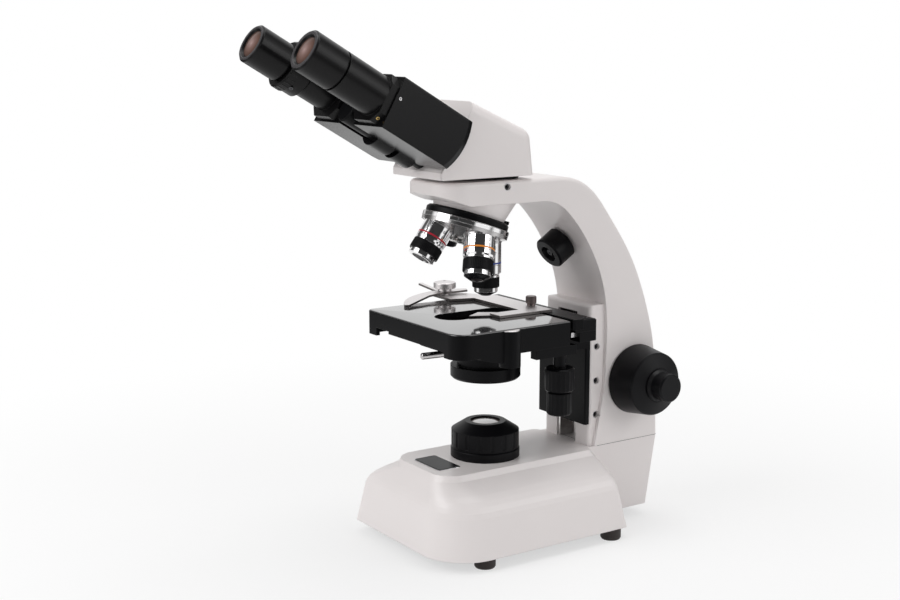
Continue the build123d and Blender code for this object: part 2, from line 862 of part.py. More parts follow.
def stage_plate_top():
    """Upper plate with a skirt, a long light slot, two runners and a round boss on its right side."""
    def plan(inset):
        return rounded_plan(stage_half_width - inset, stage_front + inset, stage_rear,
                            stage_left_corner - inset, stage_corner - inset, 0.5)
    body = Pos(0, 0, stage_bottom) * extrude(plan(0), stage_top - stage_bottom)
    body = fillet(body.faces().sort_by(Axis.Z)[-1].edges(), stage_edge_round)
    inner = Pos(0, 0, stage_bottom) * extrude(plan(stage_skirt), stage_top - stage_plate - stage_bottom)
    body -= inner
    body -= block(-stage_half_width + stage_skirt, stage_half_width - stage_skirt, 0, stage_rear + 1,
                  stage_bottom, stage_top - stage_plate)
    runner = block(runner_inner, runner_outer, slab_front, stage_rear,
                   slab_top + seat_gap, stage_top - stage_plate)
    body += runner + mirrored(runner)
    body += Pos(boss_x, boss_y, 0) * rod(stage_boss_radius, stage_boss_bottom, stage_boss_top)
    tip = boss_y - gusset_length
    web = Polygon((boss_y, stage_bottom + 1), (tip, stage_bottom + 1), (tip, stage_bottom - gusset_end),
                  (boss_y, stage_boss_bottom + gusset_end), align=None)
    body += Pos(stage_half_width, 0, 0) * extrude(Plane.YZ * web, stage_skirt, dir=(-1, 0, 0))
    for start, end, rise in ((notch_outer, notch_inner, notch_rise), (notch_inner, relief_end, relief_rise)):
        body -= block(start, end, stage_front - 1, stage_front + stage_skirt + 1,
                      stage_bottom - 1, stage_bottom + rise)
    slot = Pos(0, (slot_front + slot_rear) / 2) * Rot(0, 0, 90) * SlotOverall(
        slot_rear - slot_front, 2 * slot_half_width)
    return body - Pos(0, 0, stage_bottom) * extrude(slot, stage_top)


def x_guide():
    """Bar behind the stage plate, with a lip that the rack bar slides along."""
    low = slab_top + seat_gap
    bar = block(-stage_half_width, stage_half_width, carrier_track, slab_rear, low, guide_top)
    bar += block(-stage_half_width, stage_half_width, rack_bar_front, slab_rear, low, low + guide_lip)
    ends = block(runner_inner, runner_outer, stage_rear, rack_bar_front + 1, low, low + guide_lip)
    return chamfer(bar.faces().sort_by(Axis.Z)[-1].edges(), 0.8) + ends + mirrored(ends)


def rack_bar():
    """Bar that carries the slide holder, with rack teeth on its front face."""
    line = xy_place[1] + xy_module * xy_teeth / 2
    low = slab_top + seat_gap + guide_lip + seat_gap
    bar = rack(x_rack_teeth, xy_module, -x_rack_right_teeth, line - carrier_track + pass_gap, low, holder_z)
    bar = Pos(xy_place[0], line, 0) * Rot(0, 0, 180) * bar
    return bar - Pos(*thumbscrew_place, 0) * rod(thumbscrew_shank() + fit_gap, low, holder_z + 1)


def thumbscrew_shank():
    return thumbscrew_radius / 2


def slide_holder():
    """Flat jaw plate on the rack bar: back rail, fixed right jaw and the finger's left arm."""
    x, y = finger_pivot
    reach = finger_knob_radius
    points = ((holder_right, holder_back), (holder_right, jaw_front), (jaw_inner, jaw_front),
              (jaw_inner, slide_back), (holder_left, slide_back), (holder_left - holder_bevel, y - reach + 1),
              (x - reach, y - reach + 2), (x - reach, y + reach - 3), (x + holder_bevel, y + 2 * reach),
              (holder_left, holder_back))
    plate = slab(points, holder_z, holder_top)
    nose = jaw_nose_width
    jaw = ((jaw_inner + nose / 4, jaw_front), (jaw_inner - nose / 3, jaw_front - jaw_nose_length),
           (jaw_inner - nose, jaw_front - 2), (jaw_inner - nose / 2, jaw_front + jaw_nose_root * 2 / 3),
           (jaw_inner + 1, jaw_front + jaw_nose_root))
    plate += slab(jaw, holder_z, holder_z + holder_thickness / 2)
    plate -= Pos(*finger_pivot, 0) * rod(finger_pin_radius + fit_gap, holder_z - 1, holder_top + 1)
    return plate - Pos(*thumbscrew_place, 0) * rod(thumbscrew_shank() + fit_gap, holder_z - 1, holder_top + 1)


def finger_blade():
    """Curved spring blade, bent down from the hub so that its tip lies close over the stage."""
    x, y = finger_pivot
    half, tip = finger_width / 2, finger_tip_width / 2
    root = y - finger_bend + 2
    left, right = (finger_tip[0] - tip, finger_tip[1] - tip), (finger_tip[0] + tip, finger_tip[1] + tip)
    edge = ThreePointArc((x - half - 1, root), finger_bow, left)
    edge += Line(left, right)
    edge += Line(right, finger_elbow)
    edge += Line(finger_elbow, (x + half, root))
    edge += Line((x + half, root), (x - half - 1, root))
    blade = extrude(make_face(edge.edges()), finger_thickness, dir=(0, 0, 1))
    bend = y - finger_bend
    fall = degrees(atan2(finger_z - holder_z, bend - finger_tip[1] + tip))
    return Pos(0, bend, finger_z) * Rot(fall, 0, 0) * Pos(0, -bend, 0) * blade


def thumb_lever():
    """Narrow strip that rises from the hub to the left."""
    x, y = finger_pivot
    reach = ((lever_tip[0] - x) ** 2 + (lever_tip[1] - y) ** 2) ** 0.5
    turn = degrees(atan2(lever_tip[1] - y, lever_tip[0] - x))
    half = lever_width / 2
    lever = block(0, lever_root, -half, half, 0, finger_thickness)
    lever += Pos(lever_root - 0.5, 0, 0) * Rot(0, -lever_rise, 0) * block(
        0, reach - lever_root, -half, half, 0, finger_thickness)
    return Pos(x, y, finger_z) * Rot(0, 0, turn) * lever


def slide_finger():
    """Spring finger that presses the slide against the fixed jaw: hub with a tail, blade and thumb lever."""
    x, y = finger_pivot
    hub = finger_width / 2 + 1
    tail = ((x + hub, y), (x + hub, y + finger_tail - 1.5),
            (x + hub - finger_tail_width, y + finger_tail + 1.5),
            (x - hub, y + finger_tail / 2), (x - hub, y))
    top = finger_z + finger_thickness
    finger = Pos(x, y, 0) * rod(hub, finger_z, top) + slab(tail, finger_z, top)
    finger += finger_blade()
    finger += thumb_lever()
    return finger - Pos(x, y, 0) * rod(finger_pin_radius + running_gap, finger_z - 1, top + 1)


def finger_knob():
    """Pivot pin of the finger with its broad domed head."""
    low = finger_z + finger_thickness + holder_lift
    washer = finger_z - holder_lift
    crown = low + finger_knob_height
    rim = crown - finger_knob_dome
    pin = turned((0, holder_z), (finger_pin_radius, holder_z), (finger_pin_radius, holder_top),
                 (finger_width / 2, holder_top), (finger_width / 2, washer), (finger_pin_radius, washer),
                 (finger_pin_radius, low), (0, low))
    under = low + finger_knob_boss
    head = rod(finger_knob_radius, under, rim) + dome(finger_knob_radius, rim, finger_knob_dome)
    head = fillet(head.edges().filter_by(GeomType.CIRCLE), 0.8)
    head += rod(finger_knob_boss_radius, low, under)
    return Pos(*finger_pivot, 0) * (pin + head - Pos(0, 0, crown) * Sphere(finger_knob_dimple))


def holder_thumbscrew():
    shank = thumbscrew_shank()
    low = holder_top
    head = low + thumbscrew_neck
    screw = turned((0, low - thumbscrew_reach), (shank, low - thumbscrew_reach), (shank, low),
                   (shank + 1.2, low), (shank + 1.2, head), (thumbscrew_radius - 0.5, head),
                   (thumbscrew_radius, head + 0.5),
                   (thumbscrew_radius, low + thumbscrew_height - 0.5),
                   (thumbscrew_radius - 0.5, low + thumbscrew_height), (0, low + thumbscrew_height))
    return Pos(*thumbscrew_place, 0) * screw


def gear_case():
    """Block under the stage plate's right side that carries the two knob shafts."""
    outer = stage_half_width - xy_edge
    case = slab(((gear_case_inner, gear_case_rear), (gear_case_inner, gear_case_front + gear_case_cut),
                 (outer - gear_case_toe, gear_case_front), (outer, gear_case_front), (outer, gear_case_rear)),
                gear_case_bottom, stage_bottom)
    bore = rod(y_shaft_radius + running_gap, gear_case_bottom - 1, stage_bottom + 1)
    return case - Pos(*xy_place, 0) * bore


def y_knob():
    """Upper knob on a hollow shaft, with the pinion that drives the stage to and fro."""
    knob = turned((0, y_knob_bottom), (y_knob_radius - 1, y_knob_bottom), (y_knob_radius, y_knob_bottom + 1),
                  (y_knob_radius, y_knob_top - 1), (y_knob_radius - 1, y_knob_top), (0, y_knob_top))
    knob += rod(y_shaft_radius, y_knob_top, stage_bottom + 0.3)
    knob += Rot(0, 0, -90) * gear(xy_teeth, xy_module, stage_bottom + 0.3, y_pinion_top)
    knob -= rod(x_shaft_radius + running_gap, y_knob_bottom - 1, y_pinion_top + 1)
    return Pos(*xy_place, 0) * knob


def x_knob():
    """Lower knob on the inner shaft, with the pinion that drives the slide holder sideways."""
    knob = turned((0, x_knob_bottom), (x_knob_radius - 1, x_knob_bottom), (x_knob_radius, x_knob_bottom + 1),
                  (x_knob_radius, x_knob_top - 1), (x_knob_radius - 1, x_knob_top), (0, x_knob_top))
    knob += rod(x_shaft_radius, x_knob_top, x_pinion_top)
    knob += Rot(0, 0, 180) * gear(xy_teeth, xy_module, x_pinion_bottom, x_pinion_top)
    return Pos(*xy_place, 0) * knob


# Condenser


def condenser_carrier():
    """Bracket under the stage's lower plate with the condenser's bore."""
    plate = block(-carrier_half_width, carrier_half_width, carrier_front_y, slab_rear,
                  carrier_bottom, slab_bottom)
    plate = fillet(plate.edges().filter_by(Axis.Z).sort_by(Axis.Y)[:2], stage_corner)
    return plate - rod(condenser_radius + fit_gap, carrier_bottom - 1, slab_bottom + 1)


def condenser_body():
    """Condenser mount: filter ring at the foot, barrel in the carrier, tapered neck under the stage slot."""
    bevel = condenser_ring_bevel
    bore = condenser_bore_radius
    lens_seat = condenser_top - 3
    lens_bore = condenser_lens_radius + fit_gap
    return turned((bore, condenser_ring_bottom), (condenser_ring_radius - bevel, condenser_ring_bottom),
                  (condenser_ring_radius, condenser_ring_bottom + bevel),
                  (condenser_ring_radius, condenser_ring_top), (condenser_radius, condenser_ring_top),
                  (condenser_radius, condenser_neck), (condenser_neck_radius, condenser_neck + 2),
                  (condenser_neck_radius - 3, condenser_top), (lens_bore, condenser_top),
                  (lens_bore, lens_seat), (condenser_lens_radius - 2, lens_seat),
                  (condenser_lens_radius - 2, lens_seat - 3), (bore, lens_seat - condenser_cone))


def condenser_lens():
    return rod(condenser_lens_radius, condenser_top - 3, condenser_top - 0.4)


def iris_lever():
    """Ring round the condenser that opens its iris, with the bright lever rod to the front."""
    ring = tube(iris_ring_radius, condenser_radius + running_gap, iris_ring_bottom, iris_ring_top)
    reach = (iris_rod_tip[0] ** 2 + iris_rod_tip[1] ** 2) ** 0.5
    turn = degrees(atan2(iris_rod_tip[1], iris_rod_tip[0]))
    start = iris_ring_radius - 1.5
    lever = Rot(0, 90, 0) * rod(iris_rod_radius, start, reach)
    lever = fillet(lever.edges().sort_by(Axis.X)[-1:], iris_rod_radius / 2)
    return ring + Rot(0, 0, turn) * Pos(0, 0, (iris_ring_bottom + iris_ring_top) / 2) * lever


# Nosepiece and objectives


def nosepiece_mount():
    """Fixed black disc on the neck that the turret turns under."""
    low = -turret_top - pass_gap
    disc = turned((0, low), (mount_radius, low), (mount_radius, low - mount_thickness + 1.5),
                  (mount_radius - 1.5, low - mount_thickness), (0, low - mount_thickness))
    disc -= rod(pivot_radius + fit_gap, low - mount_thickness - 1, low + 1)
    return turret_plane * disc - rod(light_bore_radius, 0, arm_top)


def turret_pivot():
    """Shouldered screw that the turret turns on."""
    seat = turret_seat() + seat_gap
    top = -turret_top - pass_gap - mount_thickness
    end = seat + pivot_head
    return turret_plane * turned((0, top), (pivot_radius, top), (pivot_radius, seat),
                                 (pivot_head_radius, seat), (pivot_head_radius, end - 1),
                                 (pivot_head_radius - 1, end), (0, end))


def turret_seat():
    """Level of the flat in the middle of the turret's underside."""
    return (port_circle - pivot_head_radius) * tan(radians(turret_tilt)) - port_seat_step


def port_place(angle):
    """Frame of one port: its origin on the shoulder, Z down the objective."""
    return turret_plane.location * Rot(0, 0, angle) * Pos(0, -port_circle, 0) * Rot(turret_tilt, 0, 0)


port_angles = (0, 90, 180, 270)


def nosepiece_turret():
    """Chrome revolver: a shallow cone with a flat seat and a threaded bore for each objective."""
    rim = (port_circle - turret_radius) * tan(radians(turret_tilt)) - port_seat_step
    flat = turret_seat()
    cone = turret_plane * turned((0, -turret_top), (turret_radius, -turret_top), (turret_radius, rim),
                                 (pivot_head_radius, flat), (0, flat))
    for angle in port_angles:
        cone += port_place(angle) * rod(port_seat_radius, -turret_rim, 0)
    cone &= turret_plane * rod(turret_radius, -turret_top, turret_top)
    for angle in port_angles:
        cone -= port_place(angle) * rod(port_radius, -2 * turret_top, 1)
    return cone - turret_plane * rod(pivot_radius + running_gap, -2 * turret_top, 2 * turret_top)


def objective_barrel(length, waist, grip_start, grip_end, nose_length, tip_radius):
    """Chrome barrel with its thread, a waist that takes the grip ring, and a nose ring with a tapered tip."""
    thread = port_radius - fit_gap
    waist_radius = waist - grip_wall
    return turned((0, -thread_length), (thread, -thread_length), (thread, 0), (barrel_radius, 0),
                  (barrel_radius, grip_start - 3), (waist, grip_start - 1.5), (waist, grip_start),
                  (waist_radius, grip_start), (waist_radius, grip_end + nose_length),
                  (tip_radius + 1, length),
                  (tip_radius, length), (tip_radius, length - 1), (0, length - 1))


objectives = {
    "objective_4x": (180, (27.0, 11.4, 15.2, 23.2, 3.2, 7.0)),
    "objective_10x": (90, (32.4, 11.0, 17.0, 26.0, 3.4, 4.0)),
    "objective_40x": (0, (40.8, 10.2, 26.2, 34.2, 3.4, 2.5)),
}


def objective_grips():
    """Knurled rings on the objectives' waists."""
    rings = []
    for angle, (length, waist, grip_start, grip_end, nose_length, tip_radius) in objectives.values():
        ring = tube(waist, waist - grip_wall + fit_gap, grip_start, grip_end)
        rings.append(port_place(angle) * ring)
    return group(*rings)


def objective_lenses():
    lenses = []
    for angle, (length, waist, grip_start, grip_end, nose_length, tip_radius) in objectives.values():
        lenses.append(port_place(angle) * rod(tip_radius - fit_gap, length - 1, length - 0.4))
    return group(*lenses)


def port_plug():
    """Short cap in the spare port."""
    thread = port_radius - fit_gap
    plug = turned((0, -thread_length), (thread, -thread_length), (thread, 0), (barrel_radius, 0),
                  (barrel_radius, plug_length - 1), (barrel_radius - 1, plug_length), (0, plug_length))
    return port_place(270) * plug


# Head


def along_tubes(x, w, shape):
    """Puts an upright shape on a line along the tubes, Z becoming u."""
    return head_plane.location * Pos(x, w, 0) * shape


def head_outline():
    """Side outline of the white housing, its front face square to the tubes."""
    brow = (head_brow * head_rise - head_face * head_slope, head_brow * head_slope + head_face * head_rise)
    return Polygon((head_back, head_bottom), head_back_top, brow, (head_lip_y, head_lip),
                   (head_lip_y, head_bottom), align=None)


def head_form():
    """Outer form of the head with rounded top and back edges."""
    body = extrude(Plane.YZ * head_outline(), head_half_width, both=True)
    crown = [edge for edge in body.edges().filter_by(Axis.X)
             if edge.center().Y > 0 and edge.center().Z > head_bottom + 1]
    body = fillet(crown, head_back_round)
    return fillet([edge for edge in body.edges() if head_round_edge(edge)], head_edge)


def head_round_edge(edge):
    """True for the edges of the two sides that run along the top and down the back."""
    middle = edge.center()
    along = head_rise * middle.Z - head_slope * middle.Y
    front = along > head_face - 0.1 or middle.Y < head_lip_y + 0.1
    return abs(middle.X) > head_half_width - 0.1 and not front and middle.Z > head_bottom + 0.1


def cover_region(gap):
    """The part of the head in front of the cover's seams."""
    return block(-head_half_width - 1, cover_right + gap, head_lip_y - 1, cover_back + gap,
                 head_bottom - 1, head_bottom + cover_height + gap)


def head_housing():
    """White hollow housing over the dovetail, open where light enters and leaves."""
    hollow = extrude(Plane.YZ * offset(head_outline(), -head_wall, kind=Kind.INTERSECTION),
                     head_half_width - head_wall, both=True)
    body = head_form() - hollow - cover_region(cover_seam)
    body -= rod(light_bore_radius, head_bottom - 1, head_bottom + head_wall + 1)
    return body - along_tubes(0, hinge_w, rod(hinge_bore_radius, head_face - 2 * head_wall, head_face + 1))


def head_front_cover():
    return head_form() & cover_region(0)


def head_dovetail():
    """Dark seat disc under the head with the round dovetail that turns in the arm's socket."""
    seat = arm_top + seat_gap
    disc = turned((light_bore_radius, seat - dovetail_depth), (dovetail_radius, seat - dovetail_depth),
                  (dovetail_radius, seat), (seat_radius, seat), (seat_radius, head_bottom),
                  (light_bore_radius, head_bottom))
    return disc


def head_prism():
    floor = head_bottom + head_wall
    return block(-prism_size / 2, prism_size / 2, -prism_size / 2, prism_size / 2, floor, floor + prism_size)


def hinge_barrel():
    """Hollow barrel that both prism housings turn on, closed by the dial for the eye distance."""
    dial = housing_front + pass_gap
    barrel = turned((hinge_bore_radius, head_face), (hinge_radius, head_face), (hinge_radius, dial),
                    (hinge_radius, dial + dial_thickness - 1), (hinge_radius - 1, dial + dial_thickness),
                    (0, dial + dial_thickness), (0, dial), (hinge_bore_radius, dial))
    window = Pos(0, 0, window_u) * Rot(0, 90, 0) * rod(window_radius, -hub_radius, hub_radius)
    return along_tubes(0, hinge_w, barrel - window)


def housing_form():
    """Right prism housing without its hub, in the frame of the tubes."""
    side = Line((housing_low, housing_front), (housing_low, housing_rear_low))
    middle = (housing_low + housing_high) / 2
    side += ThreePointArc((housing_low, housing_rear_low), (middle, housing_rear_bow),
                          (housing_high, housing_rear_high))
    side += Line((housing_high, housing_rear_high), (housing_high, housing_front))
    side += Line((housing_high, housing_front), (housing_low, housing_front))
    form = extrude(Plane.YZ * make_face(side.edges()), housing_outer - housing_inner)
    form = Pos(housing_inner, 0, 0) * form
    outer = form.faces().sort_by(Axis.X)[-1]
    bow_edge = outer.edges().sort_by(Axis.Z)[0]
    form = chamfer(bow_edge, housing_bevel, length2=housing_bevel_depth, reference=outer)
    high_edge = form.faces().sort_by(Axis.X)[-1].edges().filter_by(Axis.Z).sort_by(Axis.Y)[-1]
    form = fillet(high_edge, housing_round)
    wall = housing_wall
    form -= block(cavity_inner, housing_outer - wall, housing_low + wall, housing_high - wall,
                  housing_rear_low + wall, housing_front - wall)
    form -= Pos(tube_x, tube_w, 0) * rod(ocular_bore_radius, housing_front - wall - 1, housing_front + 1)
    window = rod(window_radius, housing_inner - 1, cavity_inner + 1)
    return form - Pos(0, hinge_w, window_u) * Rot(0, 90, 0) * window


def prism_housing(own_hub, other_hub):
    """Housing with its own hub ring round the hinge barrel, hollowed where the other housing's hub turns."""
    hub = tube(hub_radius, hinge_radius + running_gap, own_hub, own_hub + hub_length)
    relief = rod(hub_radius + pass_gap, other_hub - pass_gap, other_hub + hub_length + pass_gap)
    body = housing_form() + Pos(0, hinge_w, 0) * hub - Pos(0, hinge_w, 0) * relief
    body -= Pos(0, hinge_w, 0) * rod(hinge_radius + running_gap, head_face, housing_front + 1)
    return head_plane.location * body


def housing_prism():
    """Glass block against the housing's outer wall."""
    outer = housing_outer - housing_wall
    front = housing_front - housing_wall
    glass = block(outer - prism_size, outer, tube_w - prism_size / 2, tube_w + prism_size / 2,
                  front - prism_size, front)
    return head_plane.location * glass


def tube_flange():
    """Plate that carries an eyepiece tube, its corners cut off."""
    width = housing_outer - housing_inner - 2 * flange_inset
    height = housing_high - housing_low - 2 * flange_inset
    plate = Rectangle(width, height)
    plate = chamfer(plate.vertices(), flange_corner)
    centre = (housing_inner + housing_outer) / 2, (housing_low + housing_high) / 2
    return Pos(*centre, housing_front) * extrude(plate, flange_thickness)


def tube_start():
    return housing_front + flange_thickness


def eyepiece_tube_right():
    body = tube_flange() + Pos(tube_x, tube_w, 0) * rod(tube_radius, tube_start(), right_tube_end)
    body -= Pos(tube_x, tube_w, 0) * rod(ocular_bore_radius, housing_front - 1, right_tube_end + 1)
    return head_plane.location * body


def eyepiece_tube_left():
    """Left tube with the sleeve that the dioptre ring turns on."""
    body = tube_flange() + Pos(tube_x, tube_w, 0) * rod(left_tube_radius, tube_start(), left_tube_end)
    body += Pos(tube_x, tube_w, 0) * rod(left_sleeve_radius, left_tube_end, left_sleeve_end)
    body -= Pos(tube_x, tube_w, 0) * rod(ocular_bore_radius, housing_front - 1, left_sleeve_end + 1)
    return mirrored(head_plane.location * body)


def diopter_ring():
    low = left_tube_end + pass_gap
    bore = left_sleeve_radius + running_gap
    ring = turned((bore, low), (diopter_collar_radius - 2, low), (diopter_collar_radius, low + 1.5),
                  (diopter_collar_radius, diopter_collar_end), (diopter_radius, diopter_collar_end),
                  (diopter_radius, diopter_end - 1), (diopter_radius - 1, diopter_end), (bore, diopter_end))
    return along_tubes(-tube_x, tube_w, ring)


def eyepiece(low, top, head_radius):
    """Eyepiece along Z: sliding barrel, groove, head with a bevelled rim and a dish for the eye lens."""
    barrel = ocular_bore_radius - running_gap
    inner = barrel - eyepiece_wall
    seat = top - eyepiece_dish
    groove, groove_top = head_radius - eyepiece_groove, low + eyepiece_groove_length
    return turned((inner, low - eyepiece_barrel), (barrel, low - eyepiece_barrel), (barrel, low),
                  (groove, low), (groove, groove_top), (head_radius, groove_top),
                  (head_radius, top - 1.5), (head_radius - 1.5, top),
                  (eyepiece_eye_radius + 1.5, top), (eyepiece_eye_radius, seat),
                  (eyepiece_eye_radius, seat - eye_lens_thickness), (inner, seat - eye_lens_thickness))


def eyepiece_right():
    return along_tubes(tube_x, tube_w, eyepiece(right_tube_end, right_eyepiece_top, eyepiece_radius))


def eyepiece_left():
    low = diopter_end + pass_gap
    return along_tubes(-tube_x, tube_w, eyepiece(low, left_eyepiece_top, left_eyepiece_radius))


def eye_lens(top):
    seat = top - eyepiece_dish
    radius = eyepiece_eye_radius - fit_gap
    return rod(radius, seat - eye_lens_thickness, seat) + dome(radius, seat, eye_lens_rise)


nodes = {
    "base_shell": base_shell,
    "base_plate": base_plate,
    "rubber_feet": rubber_feet,
    "foot_screws": foot_screws,
    "lamp_module": lamp_module,
    "power_inlet": power_inlet,
    "illuminator_collar": illuminator_collar,
    "collector_cap": collector_cap,
    "collector_lens": collector_lens,
    "arm_casting": arm_casting,
    "arm_bolts": arm_bolts,
    "guide_rails": guide_rails,
    "set_screws": set_screws,
    "brightness_knob": brightness_knob,
    "coarse_shaft": coarse_shaft,
    "coarse_knobs": coarse_knobs,
    "fine_shaft": fine_shaft,
    "fine_knobs": fine_knobs,
    "stage_carriage": stage_carriage,
    "focus_rack": focus_rack,
    "stage_base": stage_base,
    "stage_plate": stage_plate_top,
    "x_guide": x_guide,
    "rack_bar": rack_bar,
    "slide_holder": slide_holder,
    "slide_finger": slide_finger,
    "finger_knob": finger_knob,
    "holder_thumbscrew": holder_thumbscrew,
    "gear_case": gear_case,
    "y_knob": y_knob,
    "x_knob": x_knob,
    "condenser_carrier": condenser_carrier,
    "condenser_body": condenser_body,
    "condenser_lens": condenser_lens,
    "iris_lever": iris_lever,
    "nosepiece_mount": nosepiece_mount,
    "turret_pivot": turret_pivot,
    "nosepiece_turret": nosepiece_turret,
    "objective_grips": objective_grips,
    "objective_lenses": objective_lenses,
    "port_plug": port_plug,
    "head_housing": head_housing,
    "head_front_cover": head_front_cover,
    "head_dovetail": head_dovetail,
    "head_prism": head_prism,
    "hinge_barrel": hinge_barrel,
    "prism_housing_right": lambda: prism_housing(right_hub, left_hub),
    "prism_housing_left": lambda: mirrored(prism_housing(left_hub, right_hub)),
    "prism_right": housing_prism,
    "prism_left": lambda: mirrored(housing_prism()),
    "eyepiece_tube_right": eyepiece_tube_right,
    "eyepiece_tube_left": eyepiece_tube_left,
    "diopter_ring": diopter_ring,
    "eyepiece_right": eyepiece_right,
    "eyepiece_left": eyepiece_left,
    "eye_lens_right": lambda: along_tubes(tube_x, tube_w, eye_lens(right_eyepiece_top)),
    "eye_lens_left": lambda: along_tubes(-tube_x, tube_w, eye_lens(left_eyepiece_top)),
}

if __name__ == "__main__":
    for node, make in nodes.items():
        export_step(make(), f"parts/{node}.step")
    for node, (angle, sizes) in objectives.items():
        export_step(port_place(angle) * objective_barrel(*sizes), f"parts/{node}.step")
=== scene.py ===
import math

import bmesh
import bpy
from mathutils import Matrix, Vector


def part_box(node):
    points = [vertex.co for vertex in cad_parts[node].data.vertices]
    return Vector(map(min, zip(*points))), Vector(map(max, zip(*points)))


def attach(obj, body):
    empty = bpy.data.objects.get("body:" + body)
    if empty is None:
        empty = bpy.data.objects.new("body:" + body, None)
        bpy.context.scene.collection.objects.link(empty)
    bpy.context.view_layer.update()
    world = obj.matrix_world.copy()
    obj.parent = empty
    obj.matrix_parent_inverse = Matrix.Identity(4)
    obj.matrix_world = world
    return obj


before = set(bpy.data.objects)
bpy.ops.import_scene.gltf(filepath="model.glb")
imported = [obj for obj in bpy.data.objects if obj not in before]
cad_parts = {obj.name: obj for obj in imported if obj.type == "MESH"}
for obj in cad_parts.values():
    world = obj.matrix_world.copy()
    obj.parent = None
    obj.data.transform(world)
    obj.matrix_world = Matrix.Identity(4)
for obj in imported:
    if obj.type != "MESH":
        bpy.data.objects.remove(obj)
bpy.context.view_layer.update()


# Base shell with its pedestal: a hollow casting, open below, sprayed with warm white enamel.
# The coat has the faint ripple of sprayed paint, and every edge of the casting is softened.
mm = 0.001


def add(tree, kind, sockets=None, **settings):
    """One node with its settings, and its sockets as values or as links from other sockets."""
    made = tree.nodes.new(kind)
    for key, value in settings.items():
        setattr(made, key, value)
    for key, value in (sockets or {}).items():
        if isinstance(value, bpy.types.NodeSocket):
            tree.links.new(value, made.inputs[key])
        else:
            made.inputs[key].default_value = value
    return made


def maths(tree, operation, *values):
    """The result of one sum on numbers."""
    return add(tree, "ShaderNodeMath", dict(enumerate(values)), operation=operation).outputs[0]


def vectors(tree, operation, *values):
    """The result of one sum on directions, which is a number for a length or a dot product."""
    made = add(tree, "ShaderNodeVectorMath", dict(enumerate(values)), operation=operation)
    return made.outputs["Value" if operation in ("DOT_PRODUCT", "LENGTH") else "Vector"]


def eased(tree, value, start, end, low=0.0, high=1.0, curve="LINEAR"):
    """Goes from low to high while a value goes from start to end, and stays level beyond."""
    made = add(tree, "ShaderNodeMapRange",
               {"Value": value, "From Min": start, "From Max": end, "To Min": low, "To Max": high},
               interpolation_type=curve)
    return made.outputs["Result"]


def mixed(tree, share, first, second):
    """A colour between two others."""
    return add(tree, "ShaderNodeMix", {0: share, 6: first, 7: second}, data_type="RGBA").outputs[2]


def new_tree(name, kind, inputs, outputs):
    """An empty node tree with its named sockets, and the ends to wire inside it."""
    tree = bpy.data.node_groups.new(name, kind)
    for label, socket, value in inputs:
        made = tree.interface.new_socket(label, in_out="INPUT", socket_type=socket)
        if value is not None:
            made.default_value = value
    for label, socket in outputs:
        tree.interface.new_socket(label, in_out="OUTPUT", socket_type=socket)
    ends = tree.nodes.new("NodeGroupInput"), tree.nodes.new("NodeGroupOutput")
    return tree, ends[0].outputs, ends[1].inputs


ripple, given, put = new_tree("coat_ripple", "ShaderNodeTree",
                              [("Scale", "NodeSocketFloat", 900.0)],
                              [("Height", "NodeSocketFloat"), ("Cloud", "NodeSocketFloat")])
here = add(ripple, "ShaderNodeTexCoord").outputs["Object"]
fine = add(ripple, "ShaderNodeTexNoise",
           {"Vector": here, "Scale": given["Scale"], "Detail": 3.0, "Roughness": 0.55})
broad = add(ripple, "ShaderNodeTexNoise",
            {"Vector": here, "Scale": 26.0, "Detail": 4.0, "Roughness": 0.6})
ripple.links.new(fine.outputs["Fac"], put["Height"])
ripple.links.new(broad.outputs["Fac"], put["Cloud"])

edges, given, put = new_tree("soft_edges", "ShaderNodeTree",
                             [("Width", "NodeSocketFloat", 0.4 * mm)],
                             [("Edge", "NodeSocketFloat"), ("Normal", "NodeSocketVector")])
rounded = add(edges, "ShaderNodeBevel", {"Radius": given["Width"]}, samples=6).outputs["Normal"]
plain = add(edges, "ShaderNodeNewGeometry").outputs["Normal"]
agree = vectors(edges, "DOT_PRODUCT", rounded, plain)
edges.links.new(eased(edges, agree, start=0.985, end=0.8), put["Edge"])
edges.links.new(rounded, put["Normal"])


def surface(name, colour, roughness, metal=0.0, grain=900.0, depth=0.02, soft=0.4, cloud=0.05,
            worn=None, wear=0.0, **more):
    """A finish with fine grain, cloudy tone and gloss, softened edges and a trace of edge wear."""
    gloss_spread = 0.12
    material = bpy.data.materials.new(name)
    material.use_nodes = True
    tree = material.node_tree
    shader = tree.nodes["Principled BSDF"].inputs
    shader["Metallic"].default_value = metal
    for label, value in more.items():
        shader[label.replace("_", " ").title().replace("Ior", "IOR")].default_value = value
    skin = add(tree, "ShaderNodeGroup", {"Scale": grain}, node_tree=ripple).outputs
    rim = add(tree, "ShaderNodeGroup", {"Width": soft * mm}, node_tree=edges).outputs
    darker = (*[part * (1 - cloud) for part in colour], 1)
    lighter = (*[min(1, part * (1 + cloud)) for part in colour], 1)
    tone = mixed(tree, skin["Cloud"], darker, lighter)
    if worn:
        tone = mixed(tree, maths(tree, "MULTIPLY", rim["Edge"], wear), tone, (*worn, 1))
    gloss = eased(tree, skin["Cloud"], start=0.25, end=0.75,
                  low=roughness * (1 - gloss_spread), high=roughness * (1 + gloss_spread))
    bump = add(tree, "ShaderNodeBump", {"Strength": 0.5, "Distance": depth * mm,
                                        "Height": skin["Height"], "Normal": rim["Normal"]})
    tree.links.new(tone, shader["Base Color"])
    tree.links.new(gloss, shader["Roughness"])
    tree.links.new(bump.outputs["Normal"], shader["Normal"])
    return material


def dress(material, *names):
    """Gives CAD nodes their finish."""
    for name in names:
        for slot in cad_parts[name].material_slots:
            slot.material = material


